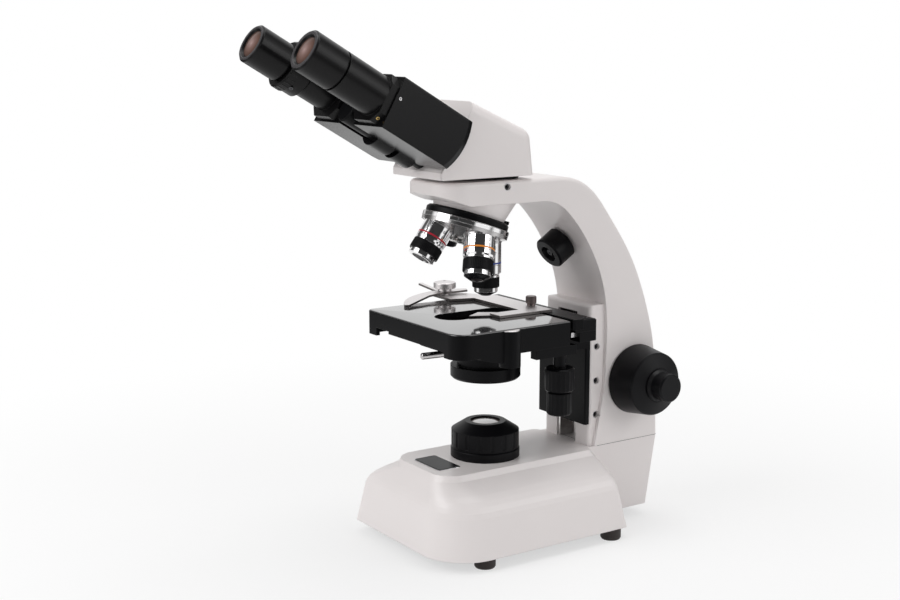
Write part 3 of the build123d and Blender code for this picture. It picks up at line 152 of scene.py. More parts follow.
white_enamel = surface("white_enamel", (0.83, 0.783, 0.775), 0.34, grain=650.0, depth=0.03,
                       soft=0.7, cloud=0.012)
dress(white_enamel, "base_shell")


# Badge plate on the deck: a thin black acrylic tile with a bright edge, cut with round corners.
# It is glued on in front of the lamp and left bare.
def made_mesh(bm, material):
    """Turns a bmesh into a mesh with outward faces and its material."""
    bmesh.ops.remove_doubles(bm, verts=bm.verts, dist=1e-7)
    bmesh.ops.recalc_face_normals(bm, faces=bm.faces)
    mesh = bpy.data.meshes.new("shape")
    bm.to_mesh(mesh)
    bm.free()
    mesh.materials.append(material)
    return mesh


def together(meshes):
    """One mesh from several, keeping their materials."""
    joined = bpy.data.meshes.new("shape")
    finishes = []
    bm = bmesh.new()
    for mesh in meshes:
        finish = mesh.materials[0]
        if finish not in finishes:
            finishes.append(finish)
        done = len(bm.faces)
        bm.from_mesh(mesh)
        bm.faces.ensure_lookup_table()
        for face in bm.faces[done:]:
            face.material_index = finishes.index(finish)
    bm.to_mesh(joined)
    bm.free()
    for finish in finishes:
        joined.materials.append(finish)
    return joined


def piece(name, mesh, body, sharp=35):
    """A finished piece that rides on a body."""
    mesh.name = name
    made = bpy.data.objects.new(name, mesh)
    bpy.context.scene.collection.objects.link(made)
    mesh.polygons.foreach_set("use_smooth", [True] * len(mesh.polygons))
    mesh.set_sharp_from_angle(angle=math.radians(sharp))
    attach(made, body)


def round_corners(centre, half, corner, steps=8):
    """Outline of a rectangle with round corners, from its middle and half its sides."""
    outline = []
    for quarter, (sign_x, sign_y) in enumerate(((1, 1), (-1, 1), (-1, -1), (1, -1))):
        for step in range(steps + 1):
            angle = math.radians(90 * quarter + 90 * step / steps)
            outline.append((centre[0] + sign_x * (half[0] - corner) + corner * math.cos(angle),
                            centre[1] + sign_y * (half[1] - corner) + corner * math.sin(angle)))
    return outline


def tile(centre, half, corner, low, high, rim, material):
    """Flat tile with round corners and a bevelled top edge."""
    bm = bmesh.new()
    outline = round_corners(centre, half, corner)
    face = bm.faces.new([bm.verts.new((x, y, low)) for x, y in outline])
    top = bmesh.ops.extrude_face_region(bm, geom=[face])["geom"]
    lifted = [part for part in top if isinstance(part, bmesh.types.BMVert)]
    bmesh.ops.translate(bm, verts=lifted, vec=(0, 0, high - low))
    upper = [edge for edge in bm.edges if all(abs(v.co.z - high) < 1e-6 for v in edge.verts)]
    bmesh.ops.bevel(bm, geom=upper, offset=rim, segments=2, affect="EDGES")
    return made_mesh(bm, material)


black_acrylic = surface("black_acrylic", (0.004, 0.0045, 0.006), 0.3, grain=3000.0, depth=0.002,
                        soft=0.15, cloud=0.15, specular_ior_level=0.1)
bright_trim = surface("bright_trim", (0.72, 0.71, 0.72), 0.28, metal=1.0, grain=2500.0,
                      depth=0.004, soft=0.1)
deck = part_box("illuminator_collar")[0].z
badge_middle = (0.5 * mm, -45 * mm)
badge_edge = tile(badge_middle, half=(18.1 * mm, 10.1 * mm), corner=2.4 * mm,
                  low=deck - 0.3 * mm, high=deck + 0.35 * mm, rim=0.15 * mm, material=bright_trim)
badge_face = tile(badge_middle, half=(17.5 * mm, 9.5 * mm), corner=2.0 * mm,
                  low=deck, high=deck + 0.7 * mm, rim=0.2 * mm, material=black_acrylic)
piece("badge_plate", together([badge_edge, badge_face]), "stand")


# Base plate, feet and their screws: a steel floor plate under the shell, and four turned rubber
# feet, each held by a screw that sits deep inside it.
dress(surface("grey_primer", (0.16, 0.16, 0.165), 0.55, grain=1200.0, depth=0.02, soft=0.3,
              cloud=0.08), "base_plate")
dress(surface("foot_rubber", (0.022, 0.015, 0.014), 0.62, grain=2600.0, depth=0.03, soft=0.5,
              cloud=0.2, worn=(0.06, 0.05, 0.045), wear=0.25), "rubber_feet")
dress(surface("zinc_plate", (0.55, 0.55, 0.54), 0.3, metal=1.0, grain=1800.0, depth=0.006,
              soft=0.2, cloud=0.06), "foot_screws", "arm_bolts")


# Lamp: a finned heat sink under the deck, a screwed black collar on it, and a fluted cap that
# turns on the collar and holds the collector lens. The plug goes into an inlet at the back.
moulded_black = surface("moulded_black", (0.0036, 0.0035, 0.0043), 0.38, grain=3200.0,
                        depth=0.018, soft=0.45, cloud=0.12, worn=(0.03, 0.03, 0.03), wear=0.25,
                        specular_ior_level=0.12)
dress(moulded_black, "illuminator_collar", "collector_cap", "power_inlet")
dress(surface("cast_aluminium", (0.5, 0.5, 0.5), 0.45, metal=1.0, grain=1400.0, depth=0.02),
      "lamp_module")

rings, given, put = new_tree("rings_about_axis", "ShaderNodeTree",
                             [("Centre", "NodeSocketVector", (0, 0, 0)),
                              ("Axis", "NodeSocketVector", (0, 0, 1)),
                              ("Reach", "NodeSocketFloat", 0.01)],
                             [("Share", "NodeSocketFloat")])
here = add(rings, "ShaderNodeTexCoord").outputs["Object"]
away = vectors(rings, "SUBTRACT", here, given["Centre"])
far = vectors(rings, "LENGTH", vectors(rings, "CROSS_PRODUCT", away, given["Axis"]))
rings.links.new(maths(rings, "DIVIDE", far, given["Reach"]), put["Share"])


def lens(name, centre, axis, reach, stops, roughness=0.06, coat=0.5, **more):
    """Polished glass with a painted reflection, its colour changing in rings from its middle to its
    rim.
    """
    material = surface(name, (0.5, 0.5, 0.5), roughness, grain=400.0, depth=0.0005, soft=0.2,
                       cloud=0.03, coat_weight=coat, **more)
    tree = material.node_tree
    share = add(tree, "ShaderNodeGroup", {"Centre": centre, "Axis": axis, "Reach": reach},
                node_tree=rings)
    ramp = add(tree, "ShaderNodeValToRGB", {"Fac": share.outputs["Share"]})
    bands = ramp.color_ramp.elements
    while len(bands) < len(stops):
        bands.new(0.5)
    for band, (position, colour) in zip(bands, stops):
        band.position = position
        band.color = (*colour, 1)
    tree.links.new(ramp.outputs["Color"], tree.nodes["Principled BSDF"].inputs["Base Color"])
    return material


# Collector lens: a painted reflection, near white in the middle, brown and dark towards the rim.
dress(lens("collector_glass_painted_reflection", centre=(0, 0, 0), axis=(0, 0, 1), reach=12 * mm,
           stops=[(0.0, (0.95, 0.94, 0.94)), (0.62, (0.86, 0.83, 0.82)),
                  (0.85, (0.42, 0.34, 0.32)), (1.0, (0.16, 0.12, 0.11))]), "collector_lens")


# Arm with its column: one heavy casting bolted to the pedestal, in the same enamel as the base,
# with a thin dark grey band laid along the joint at the foot. Two ground steel rails are let into
# the column, and socket screws press on them.
dress(white_enamel, "arm_casting")
# A thin dark grey band laid along the joint between the pedestal and the deck.
dark_joint_band = surface("dark_joint_band", (0.1, 0.095, 0.095), 0.6, grain=2000.0, depth=0.01,
                       soft=0.05, cloud=0.1)
pedestal_middle = (0, 117.2 * mm)
pedestal_half = (31 * mm, 32.8 * mm)
pedestal_corner = 3 * mm
joint_inside, joint_outside, joint_rise = -0.4 * mm, 0.05 * mm, 0.16 * mm
joint = bmesh.new()
loops = []
for out, rise in ((joint_inside, -joint_rise), (joint_outside, -joint_rise),
                  (joint_outside, joint_rise), (joint_inside, joint_rise)):
    halves = [half + out for half in pedestal_half]
    outline = round_corners(pedestal_middle, halves, pedestal_corner)
    loops.append([joint.verts.new((x, y, deck + rise)) for x, y in outline])
for lower, upper in zip(loops, loops[1:] + loops[:1]):
    for i in range(len(lower)):
        joint.faces.new((lower[i - 1], lower[i], upper[i], upper[i - 1]))
piece("pedestal_joint", made_mesh(joint, dark_joint_band), "stand")

ground_steel = surface("ground_steel", (0.62, 0.61, 0.6), 0.2, metal=1.0, grain=2200.0,
                       depth=0.006, soft=0.2, cloud=0.08)
dress(ground_steel, "guide_rails")
dark_steel = surface("dark_steel", (0.10, 0.10, 0.105), 0.32, metal=1.0, grain=2500.0,
                     depth=0.006, soft=0.12, cloud=0.15)
dress(dark_steel, "set_screws")


def set_out(tree, given, put, shape, places, turned=True):
    """Ends a tree: the shape at each place, turned to its facing, made real in its finish."""
    spread = add(tree, "GeometryNodeInstanceOnPoints", {"Points": places, "Instance": shape})
    if turned:
        facing = add(tree, "GeometryNodeInputNamedAttribute", {"Name": "facing"},
                     data_type="FLOAT_VECTOR")
        turn = add(tree, "FunctionNodeAlignRotationToVector",
                   {"Vector": facing.outputs["Attribute"]}, axis="Z")
        tree.links.new(turn.outputs["Rotation"], spread.inputs["Rotation"])
    real = add(tree, "GeometryNodeRealizeInstances", {"Geometry": spread.outputs["Instances"]})
    done = add(tree, "GeometryNodeSetMaterial",
               {"Geometry": real.outputs["Geometry"], "Material": given["Material"]})
    tree.links.new(done.outputs["Geometry"], put[0])


rim_tree, given, put = new_tree("hole_rims", "GeometryNodeTree",
                                [("Places", "NodeSocketGeometry", None),
                                 ("Radius", "NodeSocketFloat", 2 * mm),
                                 ("Thickness", "NodeSocketFloat", 0.3 * mm),
                                 ("Material", "NodeSocketMaterial", None)],
                                [("Rims", "NodeSocketGeometry")])
loop = add(rim_tree, "GeometryNodeCurvePrimitiveCircle",
           {"Resolution": 40, "Radius": given["Radius"]})
bead = add(rim_tree, "GeometryNodeCurvePrimitiveCircle",
           {"Resolution": 10, "Radius": given["Thickness"]})
rim = add(rim_tree, "GeometryNodeCurveToMesh",
          {"Curve": loop.outputs["Curve"], "Profile Curve": bead.outputs["Curve"]})
set_out(rim_tree, given, put, rim.outputs["Mesh"], given["Places"])


def grown(tree, places=(), **values):
    """Runs a geometry tree once on places with their facings, and keeps its plain mesh."""
    mesh = bpy.data.meshes.new("places")
    mesh.from_pydata([place for place, _ in places], [], [])
    if places:
        facing = mesh.attributes.new("facing", "FLOAT_VECTOR", "POINT")
        facing.data.foreach_set("vector", [value for _, way in places for value in way])
    host = bpy.data.objects.new("places", mesh)
    bpy.context.scene.collection.objects.link(host)
    modifier = host.modifiers.new("growth", "NODES")
    modifier.node_group = tree
    for item in tree.interface.items_tree:
        if item.in_out == "INPUT" and item.name in values:
            modifier[item.identifier] = values[item.name]
    ready = host.evaluated_get(bpy.context.evaluated_depsgraph_get())
    shape = bpy.data.meshes.new_from_object(ready)
    bpy.data.objects.remove(host)
    shape.materials.clear()
    shape.materials.append(values["Material"])
    shape.polygons.foreach_set("material_index", [0] * len(shape.polygons))
    return shape


screw_depth = 2 * mm
column_half = screw_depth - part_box("set_screws")[0].x
screw_line = 87 * mm
screw_heights = (91.0 * mm, 118.4 * mm, 145.8 * mm)
clamp_hole = (31 * mm, -2.7 * mm, 276.6 * mm)
rim_places = [((side * column_half, screw_line, height), (side, 0, 0))
              for side in (-1, 1) for height in screw_heights]
rim_places.append((clamp_hole, (1, 0, 0)))
hole_rims = grown(rim_tree, rim_places, Radius=2.75 * mm, Thickness=0.28 * mm,
                  Material=bright_trim)
piece("screw_hole_rims", hole_rims, "stand")


# Brightness knob: a moulded black cup, pressed on a steel shaft through the arm's throat.
# It turns the lamp up and down.
def lathed(profile, material, sides=96, place=Matrix()):
    """Turned shape about Z through (radius, height) points, closed on the axis or to its start."""
    bm = bmesh.new()
    rings = []
    for radius, height in profile:
        count = sides if radius > 0 else 1
        turn = [2 * math.pi * i / count for i in range(count)]
        around = [Vector((radius * math.cos(a), radius * math.sin(a), height)) for a in turn]
        rings.append([bm.verts.new(place @ point) for point in around])
    on_axis = len(rings[0]) == 1 and len(rings[-1]) == 1
    for lower, upper in zip(rings, rings[1:] if on_axis else rings[1:] + rings[:1]):
        for i in range(sides):
            corners = [lower[i % len(lower)], lower[(i + 1) % len(lower)],
                       upper[(i + 1) % len(upper)], upper[i % len(upper)]]
            bm.faces.new(list(dict.fromkeys(corners)))
    return made_mesh(bm, material)


knob_black = surface("knob_black", (0.0036, 0.0035, 0.0045), 0.4, grain=2800.0, depth=0.015,
                     soft=0.6, cloud=0.12, worn=(0.03, 0.03, 0.03), wear=0.2,
                     specular_ior_level=0.16)
dress(knob_black, "brightness_knob")
knob_fall = math.radians(33)
knob_seat = Vector((0, 73.2 * mm, 226.8 * mm))
knob_reach = 13.2 * mm
knob_face = knob_seat - knob_reach * Vector((0, math.cos(knob_fall), math.sin(knob_fall)))
knob_turn = Matrix.Rotation(math.radians(90) + knob_fall, 4, "X")
shaft_foot, shaft_top, shaft_radius, shaft_bevel = -0.4 * mm, 1.5 * mm, 2.9 * mm, 0.4 * mm
dimple_mouth, dimple_floor, dimple_depth = 1.2 * mm, 1.0 * mm, 0.6 * mm
shaft_end = [(0, shaft_foot), (shaft_radius, shaft_foot), (shaft_radius, shaft_top - shaft_bevel),
             (shaft_radius - shaft_bevel, shaft_top), (dimple_mouth, shaft_top),
             (dimple_floor, shaft_top - dimple_depth), (0, shaft_top - dimple_depth)]
shaft_place = Matrix.Translation(knob_face) @ knob_turn
piece("brightness_shaft_end", lathed(shaft_end, dark_steel, sides=48, place=shaft_place),
      "dimmer")


# Focus drive: two large cupped coarse knobs on a hollow shaft with a pinion, and a fine knob at
# each end of the shaft inside it. The knobs are moulded, the shafts and the rack are steel.
dress(knob_black, "coarse_knobs", "fine_knobs")
dress(ground_steel, "coarse_shaft", "fine_shaft", "focus_rack")


# Stage: a black carriage on the rails carries the lower plate; the upper plate, lacquered to a
# mirror on top, slides on it to and fro with the guide bar behind it.
black_enamel = surface("black_enamel", (0.0034, 0.0034, 0.004), 0.36, grain=1500.0, depth=0.02,
                       soft=0.5, cloud=0.1, worn=(0.03, 0.03, 0.03), wear=0.3,
                       specular_ior_level=0.1)
dress(black_enamel, "stage_carriage", "stage_base", "stage_plate", "x_guide", "rack_bar",
      "gear_case", "condenser_carrier")
stage_lacquer = surface("stage_lacquer", (0.034, 0.033, 0.034), 0.09, grain=5000.0, depth=0.004,
                        soft=0.3, cloud=0.1, coat_weight=0.8, coat_roughness=0.06)
edge_slope = 0.25
edge_depth = 1.1 * mm
lacquer_thickness = 0.06 * mm
stage_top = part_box("stage_plate")[1].z
lacquer = bmesh.new()
lacquer.from_mesh(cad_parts["stage_plate"].data)
bmesh.ops.remove_doubles(lacquer, verts=lacquer.verts, dist=1e-7)
bare = [face for face in lacquer.faces
        if face.normal.z < edge_slope or face.calc_center_median().z < stage_top - edge_depth]
bmesh.ops.delete(lacquer, geom=bare, context="FACES")
bmesh.ops.solidify(lacquer, geom=lacquer.faces[:], thickness=-lacquer_thickness)
piece("stage_top_lacquer", made_mesh(lacquer, stage_lacquer), "stage")

satin_plate = surface("satin_plate", (0.7, 0.675, 0.675), 0.42, metal=1.0, grain=2200.0,
                      depth=0.006, soft=0.25, cloud=0.05)
cap_place = Matrix.Translation((60 * mm, -20.7 * mm, 176.5 * mm))
cap_foot, cap_side, cap_top = -0.3 * mm, 0.5 * mm, 0.8 * mm
cap_radius, cap_bevel = 7.2 * mm, 0.4 * mm
cap = [(0, cap_foot), (cap_radius, cap_foot), (cap_radius, cap_side),
       (cap_radius - cap_bevel, cap_top), (0, cap_top)]
piece("boss_cap", lathed(cap, satin_plate, sides=64, place=cap_place), "stage")
rail_end = tile((58.5 * mm, 41.3 * mm), half=(0.3 * mm, 4.7 * mm), corner=0.1 * mm,
                low=164.2 * mm, high=167.8 * mm, rim=0.05 * mm, material=bright_trim)
piece("rail_end", rail_end, "carriage")

screw_tree, given, put = new_tree("socket_screws", "GeometryNodeTree",
                                  [("Places", "NodeSocketGeometry", None),
                                   ("Head", "NodeSocketFloat", 1.2 * mm),
                                   ("Height", "NodeSocketFloat", 0.8 * mm),
                                   ("Socket", "NodeSocketFloat", 0.7 * mm),
                                   ("Material", "NodeSocketMaterial", None)],
                                  [("Screws", "NodeSocketGeometry")])
socket_lift = 0.3
head = add(screw_tree, "GeometryNodeMeshCylinder",
           {"Vertices": 28, "Radius": given["Head"], "Depth": given["Height"]})
hexagon = add(screw_tree, "GeometryNodeMeshCylinder",
              {"Vertices": 6, "Radius": given["Socket"], "Depth": given["Height"]})
lift = add(screw_tree, "ShaderNodeCombineXYZ",
           {"Z": maths(screw_tree, "MULTIPLY", given["Height"], socket_lift)})
lifted = add(screw_tree, "GeometryNodeTransform",
             {"Geometry": hexagon.outputs["Mesh"], "Translation": lift.outputs["Vector"]})
cut = add(screw_tree, "GeometryNodeMeshBoolean",
          {"Mesh 1": head.outputs["Mesh"], "Mesh 2": lifted.outputs["Geometry"]},
          operation="DIFFERENCE")
set_out(screw_tree, given, put, cut.outputs["Mesh"], given["Places"])
guide_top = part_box("x_guide")[1].z
guide_reach, guide_line = 56 * mm, 52 * mm
guide_places = [((side * guide_reach, guide_line, guide_top), (0, 0, 1)) for side in (-1, 1)]
guide_screws = grown(screw_tree, guide_places, Head=2.2 * mm, Height=0.5 * mm, Socket=1.2 * mm,
                     Material=dark_steel)
piece("guide_screws", guide_screws, "stage")


# Slide holder and its spring finger: stamped from sheet steel and plated satin, darker on every
# upright face. A knurled thumbscrew clamps the holder to the rack bar, and the finger swings under
# a broad domed knob.
def marked(material, share, colour):
    """Lays a second colour over the share of a finish that a mask picks out."""
    tree = material.node_tree
    base = tree.nodes["Principled BSDF"].inputs["Base Color"]
    tree.links.new(mixed(tree, share, base.links[0].from_socket, (*colour, 1)), base)


dress(satin_plate, "finger_knob")
stamped_plate = satin_plate.copy()
stamped_plate.name = "stamped_plate"
tree = stamped_plate.node_tree
normal = add(tree, "ShaderNodeNewGeometry").outputs["Normal"]
upright = maths(tree, "ABSOLUTE", add(tree, "ShaderNodeSeparateXYZ", {0: normal}).outputs["Z"])
edge_lean = 0.35
# Every face that stands more upright than edge_lean is given a darker colour.
marked(stamped_plate, maths(tree, "LESS_THAN", upright, edge_lean), (0.15, 0.138, 0.135))
dress(stamped_plate, "slide_holder", "slide_finger")
browned_steel = surface("browned_steel", (0.2, 0.165, 0.16), 0.3, metal=1.0, grain=2500.0,
                        depth=0.006, soft=0.12, cloud=0.12)
dress(browned_steel, "holder_thumbscrew")

rib_tree, given, put = new_tree("rib_band", "GeometryNodeTree",
                                [("Count", "NodeSocketInt", 24),
                                 ("Radius", "NodeSocketFloat", 10 * mm),
                                 ("Length", "NodeSocketFloat", 5 * mm),
                                 ("Width", "NodeSocketFloat", mm),
                                 ("Material", "NodeSocketMaterial", None)],
                                [("Ribs", "NodeSocketGeometry")])
ring = add(rib_tree, "GeometryNodeMeshCircle",
           {"Vertices": given["Count"], "Radius": given["Radius"]})
half_width = maths(rib_tree, "MULTIPLY", given["Width"], 0.5)
rib = add(rib_tree, "GeometryNodeMeshCylinder",
          {"Vertices": 10, "Radius": half_width, "Depth": given["Length"]})
set_out(rib_tree, given, put, rib.outputs["Mesh"], ring.outputs["Mesh"], turned=False)


def ribs(count, radius, low, high, width, proud, material, place=Matrix()):
    """A band of upright round ribs a little proud of a turned surface, its sizes in mm."""
    mesh = grown(rib_tree, Count=count, Radius=(radius + proud - width / 2) * mm,
                 Length=(high - low) * mm, Width=width * mm, Material=material)
    mesh.transform(place @ Matrix.Translation((0, 0, (low + high) / 2 * mm)))
    return mesh


thumbscrew_axis = Matrix.Translation((4.3 * mm, 40 * mm, 0))
piece("thumbscrew_knurl",
      ribs(26, radius=4.0, low=182.1, high=186.8, width=0.7, proud=0.22, material=browned_steel,
           place=thumbscrew_axis), "holder")


# Stage knobs: two coaxial moulded knobs that hang below the gear case, the upper one wider.
# Both have round flutes for the fingers all the way round.
dress(moulded_black, "y_knob", "x_knob")
knob_axis = Matrix.Translation((52 * mm, 31.5 * mm, 0))
piece("upper_knob_flutes",
      ribs(22, radius=11.25, low=124.6, high=139.8, width=2.4, proud=0.28, material=moulded_black,
           place=knob_axis), "y_drive")
piece("lower_knob_flutes",
      ribs(20, radius=9.4, low=106.2, high=121.6, width=2.2, proud=0.28, material=moulded_black,
           place=knob_axis), "x_drive")


# Condenser: a black barrel in the carrier under the stage with a ribbed ring below, and a black
# iris ring with a plated lever that sticks out at the front.
dress(moulded_black, "condenser_body")
# Condenser lens: a painted reflection, grey in the middle and near black at the rim.
dress(lens("condenser_glass_painted_reflection", centre=(0, 0, 0), axis=(0, 0, 1), reach=10 * mm,
           stops=[(0.0, (0.5, 0.52, 0.54)), (0.7, (0.22, 0.23, 0.25)),
                  (1.0, (0.05, 0.05, 0.06))]), "condenser_lens")
iris_plate = surface("iris_plate", (0.56, 0.545, 0.545), 0.24, metal=1.0, grain=2200.0,
                     depth=0.006, soft=0.25, cloud=0.05)
iris_ring = 26.4 * mm
tree = iris_plate.node_tree
share = add(tree, "ShaderNodeGroup", {"Reach": iris_ring}, node_tree=rings).outputs["Share"]
inside = maths(tree, "LESS_THAN", share, 1.0)
marked(iris_plate, inside, (0.011, 0.011, 0.0115))
tree.links.new(maths(tree, "SUBTRACT", 1.0, inside),
               tree.nodes["Principled BSDF"].inputs["Metallic"])
dress(iris_plate, "iris_lever")


# Nosepiece: a black mount disc screwed under the arm's nose and the plated turret that turns on it,
# with a polished band round its rim and, at each of the four ports, a thin dark steel rib that
# stands in for the shade in a click-stop notch, a painted shade. The click stop is a small block on
# the mount.
dress(black_enamel, "nosepiece_mount")
dress(surface("turret_plate", (0.54, 0.53, 0.53), 0.22, metal=1.0, grain=1800.0, depth=0.006,
              soft=0.3, cloud=0.06), "nosepiece_turret")
dress(ground_steel, "turret_pivot")
chrome = surface("chrome", (0.86, 0.855, 0.86), 0.07, metal=1.0, grain=1600.0, depth=0.002,
                 soft=0.2, cloud=0.03)


def about_z(degrees):
    """A turn about the upright axis of a place."""
    return Matrix.Rotation(math.radians(degrees), 4, "Z")


port_tilt = math.radians(18.4)
port_circle = 22.45 * mm
port_seat = 232.3 * mm
turret_place = (Matrix.Translation((0, 0, port_seat))
                @ Matrix.Rotation(math.pi - port_tilt, 4, "X")
                @ Matrix.Translation((0, port_circle, 0)))
band_inside, band_outside = 32.8 * mm, 33.14 * mm
band_low, band_high, band_bevel = -9.9 * mm, -6.7 * mm, 0.2 * mm
band = [(band_inside, band_low), (band_outside, band_low + band_bevel),
        (band_outside, band_high - band_bevel), (band_inside, band_high)]
piece("turret_band", lathed(band, chrome, sides=128, place=turret_place), "turret")
click_stop = tile((28.6 * mm, 0), half=(2.6 * mm, 1.9 * mm), corner=0.3 * mm, low=-18.2 * mm,
                  high=-15.7 * mm, rim=0.2 * mm, material=black_enamel)
click_stop.transform(turret_place @ about_z(-55))
piece("click_stop", click_stop, "stand")
# Thin dark steel ribs at the four ports are painted shade, standing in for the click-stop notches
# in the band.
piece("turret_notch_shade",
      ribs(4, radius=33.1, low=-9.8, high=-6.8, width=0.9, proud=0.14, material=dark_steel,
           place=turret_place @ about_z(45)), "turret")


# Objectives: turned brass barrels, chrome plated, each with a knurled grip, a colour ring and
# plain figures, screwed into the turret's ports. The spare port has a black plug.
dress(chrome, "objective_4x", "objective_10x", "objective_40x")
dress(moulded_black, "objective_grips", "port_plug")
engraved = surface("engraving_ink", (0.02, 0.02, 0.022), 0.4, grain=3000.0, depth=0.004,
                   soft=0.02, cloud=0.1)
cell_black = surface("cell_black", (0.006, 0.006, 0.007), 0.2, grain=2000.0, depth=0.004,
                     soft=0.2, cloud=0.1, specular_ior_level=0.4)
barrel = 11.6 * mm


def wrapped(words, height, turn, place):
    """Inked figures wrapped round a barrel, their feet towards its nose."""
    figure_size, figure_depth, figure_lift = 3.6 * mm, 0.03 * mm, 0.01 * mm
    curve = bpy.data.curves.new("figures", "FONT")
    curve.body = words
    curve.size = figure_size
    curve.extrude = figure_depth
    curve.align_x = "CENTER"
    host = bpy.data.objects.new("figures", curve)
    bpy.context.scene.collection.objects.link(host)
    ready = host.evaluated_get(bpy.context.evaluated_depsgraph_get())
    mesh = bpy.data.meshes.new_from_object(ready)
    bpy.data.objects.remove(host)
    for point in mesh.vertices:
        angle = turn - point.co.x / barrel
        reach = barrel + point.co.z + figure_lift
        point.co = place @ Vector((reach * math.cos(angle), reach * math.sin(angle),
                                   height - point.co.y))
    mesh.materials.clear()
    mesh.materials.append(engraved)
    return mesh


def paint_and_shade_ring(low, width, proud, material, place):
    """A thin ring round a barrel, its sizes in mm, used both for the colour paint and for the
    painted shade in a groove.
    """
    inside, outside = barrel - 0.2 * mm, barrel + proud * mm
    low, high = low * mm, (low + width) * mm
    return lathed([(inside, low), (outside, low), (outside, high), (inside, high)], material,
                  place=place)


def nose_cell(wide, start, narrow, end, place):
    """The thin black cone over a barrel's nose, its sizes in mm."""
    wide, start, narrow, end = wide * mm, start * mm, narrow * mm, end * mm
    skin = 0.12 * mm
    mouth = narrow - 0.6 * mm
    return lathed([(wide, start), (wide + skin, start), (narrow + skin, end + skin),
                   (mouth, end + skin), (mouth, end), (narrow, end)], cell_black, place=place)


grip_margin = 0.4
reader_way = Vector((0.83, -0.55, 0.1))
first_row, second_row = 4.6 * mm, 9.0 * mm
# Sizes here are in mm, heights from the port's face towards the nose.
for label, power, aperture, port, grip_radius, grip, ring_low, ring_colour, cell in (
        ("low_power", "4", "0.10", 180, 11.4, (15.2, 23.2), 9.1, (0.42, 0.012, 0.03), None),
        ("mid_power", "10", "0.25", 90, 11.0, (17.0, 26.0), 8.7, (0.75, 0.24, 0.02),
         (9.6, 29.5, 5.0, 32.4)),
        ("high_power", "40", "0.65", 0, 10.2, (26.2, 34.2), 14.7, (0.03, 0.06, 0.30),
         (8.6, 38.1, 3.5, 40.8))):
    place = (turret_place @ about_z(port) @ Matrix.Translation((0, -port_circle, 0))
             @ Matrix.Rotation(port_tilt, 4, "X"))
    enamel = surface(label + "_enamel", ring_colour, 0.3, grain=2500.0, depth=0.004, soft=0.05,
                     cloud=0.05)
    shapes = [paint_and_shade_ring(ring_low, width=1.3, proud=0.05, material=enamel, place=place),
              # A thin dark steel ring just below the colour ring is painted shade, standing in for
              # the groove there.
              paint_and_shade_ring(ring_low + 2.0, width=0.35, proud=0.02, material=dark_steel,
                           place=place),
              ribs(56, radius=grip_radius, low=grip[0] + grip_margin, high=grip[1] - grip_margin,
                   width=0.8, proud=0.2, material=moulded_black, place=place)]
    if cell:
        shapes.append(nose_cell(*cell, place))
    reader = place.to_3x3().inverted() @ reader_way
    middle = math.atan2(reader.y, reader.x)
    for turn, first, second in ((0.42, power, aperture), (-0.46, "160", "0.17")):
        shapes.append(wrapped(first, first_row, middle + turn, place))
        shapes.append(wrapped(second, second_row, middle + turn, place))
    piece(label + "_marks", together(shapes), "turret")
dress(surface("front_lens_glass", (0.02, 0.014, 0.016), 0.3, grain=400.0, depth=0.0005, soft=0.1,
              specular_ior_level=0.04), "objective_lenses")


# Head: a white housing on a round dovetail, closed below by a small front cover, with the prism
# inside. It turns on the arm's nose.
dress(white_enamel, "head_housing", "head_front_cover")
dress(black_enamel, "head_dovetail")
prism_glass = surface("prism_glass", (0.85, 0.88, 0.9), 0.03, grain=400.0, depth=0.0005, soft=0.2,
                      cloud=0.03, transmission_weight=0.9, ior=1.52)
dress(prism_glass, "head_prism")


# Binocular: two prism housings that swing about one hinge barrel, moulded black with cut bevels,
# each with a prism inside.
dress(black_enamel, "hinge_barrel")
dress(surface("housing_black", (0.0034, 0.0032, 0.0037), 0.2, grain=2600.0, depth=0.02, soft=0.5,
              cloud=0.1, worn=(0.04, 0.04, 0.04), wear=0.25, specular_ior_level=0.22),
      "prism_housing_right", "prism_housing_left")
dress(prism_glass, "prism_right", "prism_left")


# Tubes and eyepieces: turned aluminium, black anodised, each eyepiece a lighter grey along its end
# rim, the left one on a ribbed dioptre ring. The eye lenses are coated and carry a painted
# reflection, and small screws hold the tubes in their housings.
anodised = surface("anodised_black", (0.0042, 0.0039, 0.0043), 0.32, grain=4200.0, depth=0.008,
                   soft=0.4, cloud=0.1, worn=(0.045, 0.045, 0.047), wear=0.35,
                   specular_ior_level=0.2)
dress(anodised, "eyepiece_tube_right", "eyepiece_tube_left", "diopter_ring")
tube_slope = math.radians(30)
along_tubes = Matrix.Rotation(math.pi / 2 - tube_slope, 4, "X")
tube_way = along_tubes @ Vector((0, 0, 1))
tube_half = 32 * mm
tube_rise = 241.6 * mm
rim_depth = 0.5 * mm
for node, top in (("eyepiece_right", 334.9 * mm), ("eyepiece_left", 343.2 * mm)):
    finish = anodised.copy()
    finish.name = node + "_black"
    tree = finish.node_tree
    spot = add(tree, "ShaderNodeTexCoord").outputs["Object"]
    height = vectors(tree, "DOT_PRODUCT", spot, tube_way)
    # The last rim_depth of each eyepiece towards its end is a lighter grey.
    marked(finish, maths(tree, "GREATER_THAN", height, top - rim_depth), (0.055, 0.052, 0.055))
    dress(finish, node)
# Eye lenses: a painted reflection over the coating, light pink in the middle and dark brown at the
# rim.
for side, node in ((1, "eye_lens_right"), (-1, "eye_lens_left")):
    dress(lens(node + "_coating_painted_reflection", centre=along_tubes @ Vector((side * tube_half, tube_rise, 0)),
               axis=tube_way, reach=10.2 * mm,
               stops=[(0.0, (0.36, 0.25, 0.235)), (0.4, (0.2, 0.125, 0.11)),
                      (0.7, (0.13, 0.075, 0.06)), (0.92, (0.09, 0.052, 0.042)),
                      (1.0, (0.012, 0.008, 0.008))],
               roughness=0.12, coat=0.1, specular_ior_level=0.12), node)


def at_tubes(across, above, along):
    """A point or direction given along the tubes, as seen from the base."""
    return along_tubes @ Vector((across, above, along))


